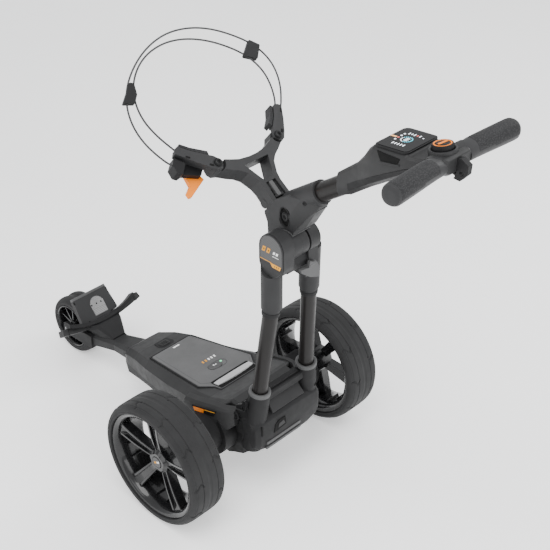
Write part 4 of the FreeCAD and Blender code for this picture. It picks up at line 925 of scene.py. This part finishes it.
def socket_trim(word, side):
    """Each tube's socket with its pale rim, ear and screws, and the collar further up."""
    foot, head = (Vector((side * x, y, z)) for x, y, z in (TUBE_FOOT, TUBE_HEAD))
    way = (head - foot).to_track_quat("Z", "Y").to_matrix().to_4x4()
    frame = Matrix.Translation(foot) @ way
    rim = [(0.0176, 0.002), (0.018, 0.0054), (0.0225, 0.0062), (0.0243, 0.005), (0.0246, 0.002),
           (0.0244, -0.003), (0.0235, -0.004), (0.0176, -0.004)]
    lathe(f"socket_rim_{word}", rim, 72, frame, "lower_frame", "satin_light")
    tube = [(0.0171, 0.001), (0.0236, 0.001), (0.024, -0.003), (0.0242, -0.1), (0.0248, -0.152),
            (0.0171, -0.152)]
    lathe(f"socket_{word}", tube, 72, frame, "lower_frame", "dark_plastic")
    ear = [(0.14, 0.21), (0.164, 0.206), (0.2, 0.176), (0.2, 0.276), (0.166, 0.24),
           (0.14, 0.234)]
    slab(f"socket_ear_{word}", ear, -0.004, 0.004, side_plane(side * 0.0955), "lower_frame",
         "dark_plastic", edges=0.0014)
    cup = [(0.0001, -0.001), (0.0042, -0.001), (0.0042, 0.0008), (0.0034, 0.0014),
           (0.0024, 0.0014), (0.002, 0.0004), (0.0001, 0.0004)]
    for k, (angle, down) in enumerate(((-70 if side > 0 else 250, -0.014),
                                       (-62 if side > 0 else 242, -0.06))):
        spot = frame @ turned(angle + 90) @ Matrix.Translation((0.0238, 0, down)) \
            @ turned(90, "Y")
        lathe(f"socket_screw_{word}_{k}", cup, 28, spot, "lower_frame", "gap")
    collar = frame @ Matrix.Translation((0, 0, 0.212))
    ring = [(0.0172, -0.003), (0.0192, -0.003), (0.0198, 0.0), (0.0198, 0.007), (0.0172, 0.007)]
    lathe(f"tube_collar_{word}", ring, 60, collar, "lower_frame", "dark_plastic")


def pivot_screw(word, side):
    """A black screw with a socket, over the pivot's plain head."""
    frame = wheel_frame(FRAME_PIVOT + Vector((side * 0.0992, 0, 0)), side)
    head = [(0.0001, 0.0052), (0.004, 0.0052), (0.0046, 0.0068), (0.0078, 0.007),
            (0.0094, 0.0056), (0.0096, 0.0006), (0.013, 0.0006), (0.0134, -0.001),
            (0.0134, -0.003), (0.0001, -0.003)]
    lathe(f"pivot_screw_{word}", head, 48, frame, "chassis", "control_black",
          replaces=["frame_pivot_screws"] if side > 0 else ())


BUTTON_RING = (-0.009, 0.16)


def lid_trim():
    """The lid's darker near edge, its button ring, lamp, marks and handle."""
    rim = [(0.061, 0.002), (0.083, 0.194), (0.0615, 0.225)]
    inner = [(0.053, 0.006), (0.073, 0.19), (0.056, 0.208)]
    for word, side in SIDES.items():
        width = 1.0 if side > 0 else 0.35
        verts, faces = [], []
        for (ox, oy), (ix, iy) in zip(rim, inner):
            ix, iy = ox + (ix - ox) * width, oy + (iy - oy) * width
            for x, y, z in ((ox + 0.0006, oy, -0.006), (ox + 0.0002, oy, -0.0022),
                            (ix, iy, 0.0004), (ix, iy, -0.001)):
                verts.append((side * x, y, z))
        for k in range(2):
            for j in range(4):
                n = (j + 1) % 4
                faces.append((4 * k + j, 4 * k + n, 4 * k + 4 + n, 4 * k + 4 + j))
        faces += [(0, 1, 2, 3), (8, 9, 10, 11)]
        piece(f"lid_edge_{word}", verts, faces, "battery", "lid_side", matrix=BATTERY,
              edges=0.0005)
    outer, inner = (oval(x, y, 56, BUTTON_RING, 2.3)
                    for x, y in ((0.0255, 0.0155), (0.0238, 0.0139)))
    border("button_ring", outer, inner, (-0.002, 0.0006, 0.0006, -0.002), BATTERY,
           "battery", "lid_side", slot="dark_plastic", edges=0.0003)
    slab("button_face", oval(0.0188, 0.0128, 48, (0, 0.16), 2.2), -0.0024, 0.0011, BATTERY,
         "battery_button", "lid_side", replaces=["power_button"], edges=0.0008)
    slab("lamp", oval(0.003, 0.003, 20, (-0.0225, 0.1555)), -0.001, 0.001, BATTERY, "battery",
         "green", edges=0.0003)
    for k, (x, y, w, h) in enumerate(((-0.002, 0.1585, 0.0045, 0.0008),
                                      (0.0015, 0.156, 0.0016, 0.002),
                                      (-0.0055, 0.1565, 0.0012, 0.0012))):
        slab(f"button_mark_{k}", rounded_box(w, h, 0.0005, 2, (x, y)), 0.0009, 0.0013, BATTERY,
             "battery_button", "white", slot="control_black")
    slab("lid_label", rounded_box(0.0098, 0.0024, 0.0006, 3, (-0.0075, 0.0115)), -0.0004,
         0.0002, BATTERY, "battery", "white")
    for k, colour in enumerate(("gold", "gold", "white", "white", "white")):
        bar = slanted_bar(0.0035 - 0.0092 * k, 0.0044, 0.0016, 0.12, 0.129)
        slab(f"lid_mark_{k}", bar, -0.0003, 0.0003, BATTERY, "battery", colour,
             slot="satin_grey_plastic")
    # a near-black sheet under the carry handle: painted shade in its recess
    hollow = rounded_box(0.0585, 0.0195, 0.004, 5, (0, 0.2255))
    slab("handle_recess_shade", hollow, -0.0025, 0.0004, BATTERY, "battery", "gap")
    rings = []
    for step in range(-12, 13):
        t = step / 12
        x = 0.0565 * t
        mid = 0.223 + 0.003 * (1 - t * t)
        half = 0.0098 - 0.0022 * t * t * abs(t)
        lift = 0.003 + 0.0018 * (1 - t * t)
        rings.append([(x, mid - half, -0.001), (x, mid - half, lift - 0.0012),
                      (x, mid - half + 0.0016, lift), (x, mid + half - 0.0016, lift),
                      (x, mid + half, lift - 0.0012), (x, mid + half, -0.001)])
    loft("carry_handle", rings, "battery", "silver_trim", replaces=["battery_handle"],
         edges=0.0006, matrix=BATTERY)


def front_latch():
    """The catch in front of the battery, in a shallow well."""
    deck = BATTERY @ Matrix.Translation((0, 0, -0.005))
    well = [(0.013, -0.05), (-0.026, -0.05), (-0.03, -0.024), (-0.02, -0.012), (0.01, -0.012),
            (0.018, -0.026)]
    slab("latch_well", well, -0.003, 0.0014, deck, "chassis", "dark_plastic", edges=0.001)
    slab("latch_tab", rounded_box(0.013, 0.01, 0.004, 5, (-0.004, -0.03)), -0.001, 0.0036, deck,
         "chassis", "charcoal_plastic", edges=0.0012)
    for k in range(3):
        slab(f"latch_rib_{k}", rounded_box(0.01, 0.001, 0.0008, 3,
                                           (-0.004, -0.035 + 0.005 * k)), 0.002, 0.0044, deck,
             "chassis", "dark_plastic")


for word, side in SIDES.items():
    chassis_side(word, side)
    socket_trim(word, side)
    pivot_screw(word, side)
rear_cover()
lid_trim()
front_latch()


# --- Front plate, cradle and front rim ---
CRADLE_HALF, CRADLE_RISE, CRADLE_LOW = 0.121, 0.016, -0.044
CRADLE_END = 0.115
CRADLE_END_SLOPE = math.atan(2 * CRADLE_RISE * 0.93 / 0.119)


def cradle():
    """The curved arms under the bag's foot, with a block on each end."""
    rings = []
    for step in range(-20, 21):
        t = step / 20
        slope = math.atan(2 * CRADLE_RISE * t / CRADLE_HALF)
        x, y = CRADLE_HALF * t, CRADLE_LOW + CRADLE_RISE * t * t
        rings.append([(x - math.sin(slope) * v, y + math.cos(slope) * v, z)
                      for v, z in rounded_box(0.0074, 0.012, 0.002, 3, (0, 0.002))])
    loft("cradle_arms", rings, "chassis", "charcoal_plastic", replaces=["cradle_tips"],
         matrix=PLATE, angle=40)
    for word, side in SIDES.items():
        centre = (side * CRADLE_END, CRADLE_LOW + CRADLE_RISE * 0.9, 0.002)
        frame = PLATE @ Matrix.Translation(centre) \
            @ Matrix.Rotation(side * CRADLE_END_SLOPE, 4, "Z")
        slab(f"cradle_end_{word}", rounded_box(0.0095, 0.0083, 0.002, 4), -0.0134, 0.0134,
             frame, "chassis", "charcoal_plastic", slot="dark_plastic", edges=0.0012)
        # each groove in near-black: painted shade
        slab(f"cradle_groove_{word}", rounded_box(0.001, 0.0088, 0.0004, 2, (-side * 0.006, 0)),
             -0.0134, 0.0134, frame, "chassis", "gap", slot="dark_plastic")


def plate_trim():
    """The plate's top edge, the patch with its ribs, bars and dots, and the slots."""
    top = [(0.053, 0.0325), (0.052, 0.0392), (-0.052, 0.0392), (-0.053, 0.0325)]
    slab("plate_top_edge", top, -0.0008, 0.013, PLATE, "chassis", "satin_light", edges=0.0012)
    centre, half = -0.0075, 0.0205

    def crown(x):
        return math.sqrt(max(0.0, half ** 2 - (x - centre) ** 2))

    arc = [(centre + half * math.cos(math.pi * k / 24), half * math.sin(math.pi * k / 24))
           for k in range(25)]
    dome = [(centre + half, -0.0276)] + arc + [(centre - half, -0.0276)]
    slab("dome_patch", dome, -0.0008, 0.001, PLATE, "chassis", "light_grey", edges=0.0002)
    for k in range(12):
        x = centre - half + (k + 0.5) * half / 6
        top_y = crown(x) - 0.0012
        strip = [(x - 0.0011, -0.0105), (x + 0.0011, -0.0105), (x + 0.0011, top_y),
                 (x - 0.0011, top_y)]
        slab(f"dome_rib_{k}", strip, -0.0014, 0.0, PLATE, "chassis", "pale_grey")
    for k in range(4):
        y = -0.013 - 0.0038 * k
        slab(f"dome_bar_{k}", rounded_box(0.019, 0.0012, 0.0004, 2, (centre, y)), -0.0014, 0.0,
             PLATE, "chassis", "pale_grey")
    for k, (x, y) in enumerate(((0.0104, 0.0014), (-0.005, 0.0014), (-0.0195, 0.0012))):
        slab(f"dome_dot_{k}", oval(0.0022, 0.0022, 16, (x, y)), -0.0017, 0.0, PLATE, "chassis",
             "gap")
    for word, side in SIDES.items():
        # slots and notches in near-black: painted shade
        slab(f"plate_slot_{word}", rounded_box(0.0016, 0.004, 0.001, 3, (side * 0.052, 0.026)),
             -0.0004, 0.002, PLATE, "chassis", "gap")
        slab(f"plate_notch_{word}", rounded_box(0.0022, 0.006, 0.001, 3,
                                                (side * 0.043, -0.029)), -0.0004, 0.002,
             PLATE @ turned(-side * 12), "chassis", "gap")


def front_rim():
    frame = wheel_frame(FRONT_AXLE, 1)
    barrel = [(0.0582, 0.0326), (0.056, 0.0334), (0.0542, 0.031), (0.053, 0.024),
              (0.053, -0.024), (0.0542, -0.031), (0.056, -0.0334), (0.0582, -0.0326)]
    lathe("front_barrel", barrel, 120, frame, "front_wheel", "gloss_black",
          replaces=["front_rim"])
    hub = [(0.0054, 0.03), (0.012, 0.03), (0.015, 0.027), (0.016, 0.02), (0.016, -0.02),
           (0.015, -0.027), (0.012, -0.03), (0.0054, -0.03)]
    lathe("front_hub", hub, 60, frame, "front_wheel", "gloss_black")
    blade = [(0.0145, -0.0026), (0.0535, -0.0011), (0.0535, 0.0011), (0.0145, 0.0026)]
    for word, side in SIDES.items():
        for k in range(10):
            spot = wheel_frame(FRONT_AXLE, side) @ turned(36 * k)
            slab(f"front_spoke_{word}_{k}", blade, 0.013, 0.025, spot, "front_wheel",
                 "gloss_black", edges=0.0005)


cradle()
plate_trim()
front_rim()


# --- Hinge, casting, bag fork and pads ---
def hex_screw(name, frame, radius, body, **more):
    """A black screw head in a dark washer, with a hexagon socket."""
    head = [(0.0001, 0.0), (radius * 0.42, 0.0), (radius * 0.46, 0.0018),
            (radius * 0.74, 0.0024), (radius * 0.8, 0.0014), (radius, 0.001),
            (radius * 1.02, -0.0004), (radius, -0.002), (0.0001, -0.002)]

    def hexagon(r, h, angle):
        if 0.3 * radius < r < 0.5 * radius:
            sector = (angle % (math.pi / 3)) - math.pi / 6
            r = r * math.cos(math.pi / 6) / math.cos(sector)
        return r, h

    lathe(name, head, 72, frame, body, "control_black", hexagon, slot="steel", angle=30, **more)


CAP_FACE = 0.0706
CAP_FOOT, CAP_TOP = 0.607, 0.706


def hinge_cap():
    """The printed end cap of the hinge, with made-up marks."""
    centre_z = (CAP_FOOT + CAP_TOP) / 2
    plane = side_plane(CAP_FACE) @ Matrix.Translation((HINGE.y, centre_z, 0))
    half_y, half_z = 0.0328, 0.049
    outer, inner = stadium(half_y, half_z), stadium(half_y - 0.0022, half_z - 0.0022)
    border("cap_rim", outer, inner, (-0.001, 0.0008, 0.0012, -0.001), plane, "lower_frame",
           "satin_grey_plastic")
    slab("cap_face", inner, -0.001, 0.0006, plane, "lower_frame", "cap_weave",
         slot="charcoal_plastic")

    def mark(name, outline, colour):
        slab(name, [(y - HINGE.y, z - centre_z) for y, z in outline], 0.0002, 0.001, plane,
             "lower_frame", colour, slot="charcoal_plastic")

    for k in range(2):
        y = 0.2085 + 0.0125 * k
        mark(f"cap_bar_{k}", slanted_bar(y - 0.005, 0.008, 0.004, 0.6625, 0.6745), "gold")
        mark(f"cap_cut_{k}", [(y - 0.0005, 0.6665), (y + 0.002, 0.6665), (y + 0.0032, 0.6705),
                              (y + 0.0008, 0.6705)], "gap")
    for k in range(2):
        mark(f"cap_dash_{k}", slanted_bar(0.234 + 0.008 * k, 0.005, 0.0022, 0.665, 0.671),
             "white")
    mark("cap_rule", [(0.233, 0.659), (0.25, 0.659), (0.25, 0.66), (0.233, 0.66)], "white")
    mark("cap_line", [(0.1985, 0.6425), (0.229, 0.6425), (0.231, 0.6438), (0.1985, 0.6438)],
         "gold")
    mark("cap_tag", [(0.227, 0.6425), (0.257, 0.6425), (0.254, 0.6335), (0.233, 0.6335)],
         "gold")
    for k in range(3):
        mark(f"cap_tick_{k}", slanted_bar(0.2385 + 0.005 * k, 0.0014, 0.0012, 0.636, 0.6402),
             "gap")
    slab("cap_foot", [(x, y) for x, y in stadium(half_y - 0.003, half_z - 0.003)
                      if y < -0.0155], 0.0004, 0.0009, plane, "lower_frame",
         "charcoal_plastic")


def hull(name, points, body, look_name, **more):
    """The smallest convex solid round some points."""
    shape = bmesh.new()
    for point in points:
        shape.verts.new(point)
    made = bmesh.ops.convex_hull(shape, input=shape.verts)
    loose = {g for g in made["geom_interior"] + made["geom_unused"]
             if isinstance(g, bmesh.types.BMVert)}
    bmesh.ops.delete(shape, geom=list(loose), context="VERTS")
    bmesh.ops.dissolve_limit(shape, angle_limit=math.radians(3), verts=shape.verts,
                             edges=shape.edges)
    shape.verts.index_update()
    verts = [tuple(v.co) for v in shape.verts]
    faces = [[v.index for v in f.verts] for f in shape.faces]
    shape.free()
    piece(name, verts, faces, body, look_name, **more)


CLAMP = (0.222, 0.725)
SLEEVE_SCREW = (0.274, 0.777)


def casting():
    """Fairings over the casting: the fill up to the sleeve, the curved lip, the screws."""
    fill = []
    for x, outline in ((0.0252, [(0.262, 0.7815), (0.281, 0.7455), (0.2475, 0.7015),
                                 (0.23, 0.73)]),
                       (0.015, [(0.303, 0.773), (0.295, 0.805), (0.27, 0.716),
                                (0.235, 0.7)]),
                       (0.0205, [(0.292, 0.77), (0.285, 0.8)])):
        fill += [(side * x, y, z) for side in (1, -1) for y, z in outline]
    hull("casting_fill", fill, "upper_frame", "charcoal_plastic", edges=0.003)
    arc = [math.radians(58 + 64 * k / 16) for k in range(17)]
    lip = [(HINGE.y + radius * math.cos(a), HINGE.z + radius * math.sin(a))
           for radius, angles in ((0.0316, arc), (0.0345, arc[::-1])) for a in angles]
    slab("casting_lip", lip, -0.0256, 0.0262, side_plane(0), "upper_frame", "satin_light",
         slot="charcoal_plastic", edges=0.0004)
    outer, inner = (oval(x, y, 48, power=2.2) for x, y in ((0.0225, 0.0138), (0.0208, 0.0122)))
    for word, side in SIDES.items():
        place = wheel_frame((side * 0.0249, *CLAMP), side) @ turned(8 * side)
        border(f"clamp_rim_{word}", outer, inner, (-0.004, 0.0006, 0.0002, -0.004), place,
               "upper_frame", "dark_plastic", slot="charcoal_plastic")
        # a near-black floor inside the clamp rim: painted shade in the recess
        slab(f"clamp_floor_shade_{word}", inner, -0.0046, -0.0034, place, "upper_frame", "gap")
        hex_screw(f"clamp_screw_{word}", wheel_frame((side * 0.0222, *CLAMP), side), 0.0102,
                  "upper_frame", replaces=["clamp_screws"] if side > 0 else ())
        hex_screw(f"sleeve_screw_{word}", wheel_frame((side * 0.0238, *SLEEVE_SCREW), side),
                  0.0048, "upper_frame")


# How far each pad has swung inward, in degrees
PAD_SWING = {"left": 40.0, "right": 52.0}


def pad_place(word, depth):
    """A pad's pivot: local X along the pad and local Z down the bag."""
    side = SIDES[word]
    degrees = PAD_SWING[word] if side > 0 else 180 - PAD_SWING[word]
    return BAG @ Matrix.Translation((side * PAD_PIVOT.x, 0, depth)) @ turned(degrees)


def fork_trim():
    """Screws over the pads' pins, slots in the pads, the fork's bar and the lever's base."""
    over = Matrix.Rotation(math.pi, 4, "X")
    for word, side in SIDES.items():
        hex_screw(f"pad_screw_{word}", pad_place(word, -0.0018) @ over, 0.0088, "bag_support",
                  replaces=["pad_screws"] if side > 0 else ())
        # the pad's slots in near-black: painted shade
        for k, (x, y, along, wide) in enumerate(((0.013, -0.0095, 0.0045, 0.002),
                                                 (0.064, -0.008, 0.005, 0.0018))):
            slab(f"pad_slot_{word}_{k}", rounded_box(along, wide, 0.0016, 4, (x, side * y)),
                 -0.0006, 0.002, pad_place(word, 0.0), f"{word}_pad", "gap")
    slab("fork_bar", rounded_box(0.0052, 0.018, 0.003, 5, (0, -0.096)), 0.0006, 0.008, BAG,
         "bag_support", "satin_light", slot="charcoal_plastic", edges=0.0012)
    slab("fork_bar_end", rounded_box(0.012, 0.0034, 0.002, 4, (0, -0.112)), 0.0012, 0.008, BAG,
         "bag_support", "dark_plastic", edges=0.001)
    spot = pad_place("left", 0.0333) @ Matrix.Translation((0.0614, -0.0124, 0)) \
        @ turned(-PAD_SWING["left"])
    slab("lever_base", rounded_box(0.0118, 0.009, 0.002, 4, (-0.004, -0.007)), -0.0012, 0.0104,
         spot, "ratchet_lever", "light_grey", edges=0.0012)


hinge_cap()
casting()
fork_trim()
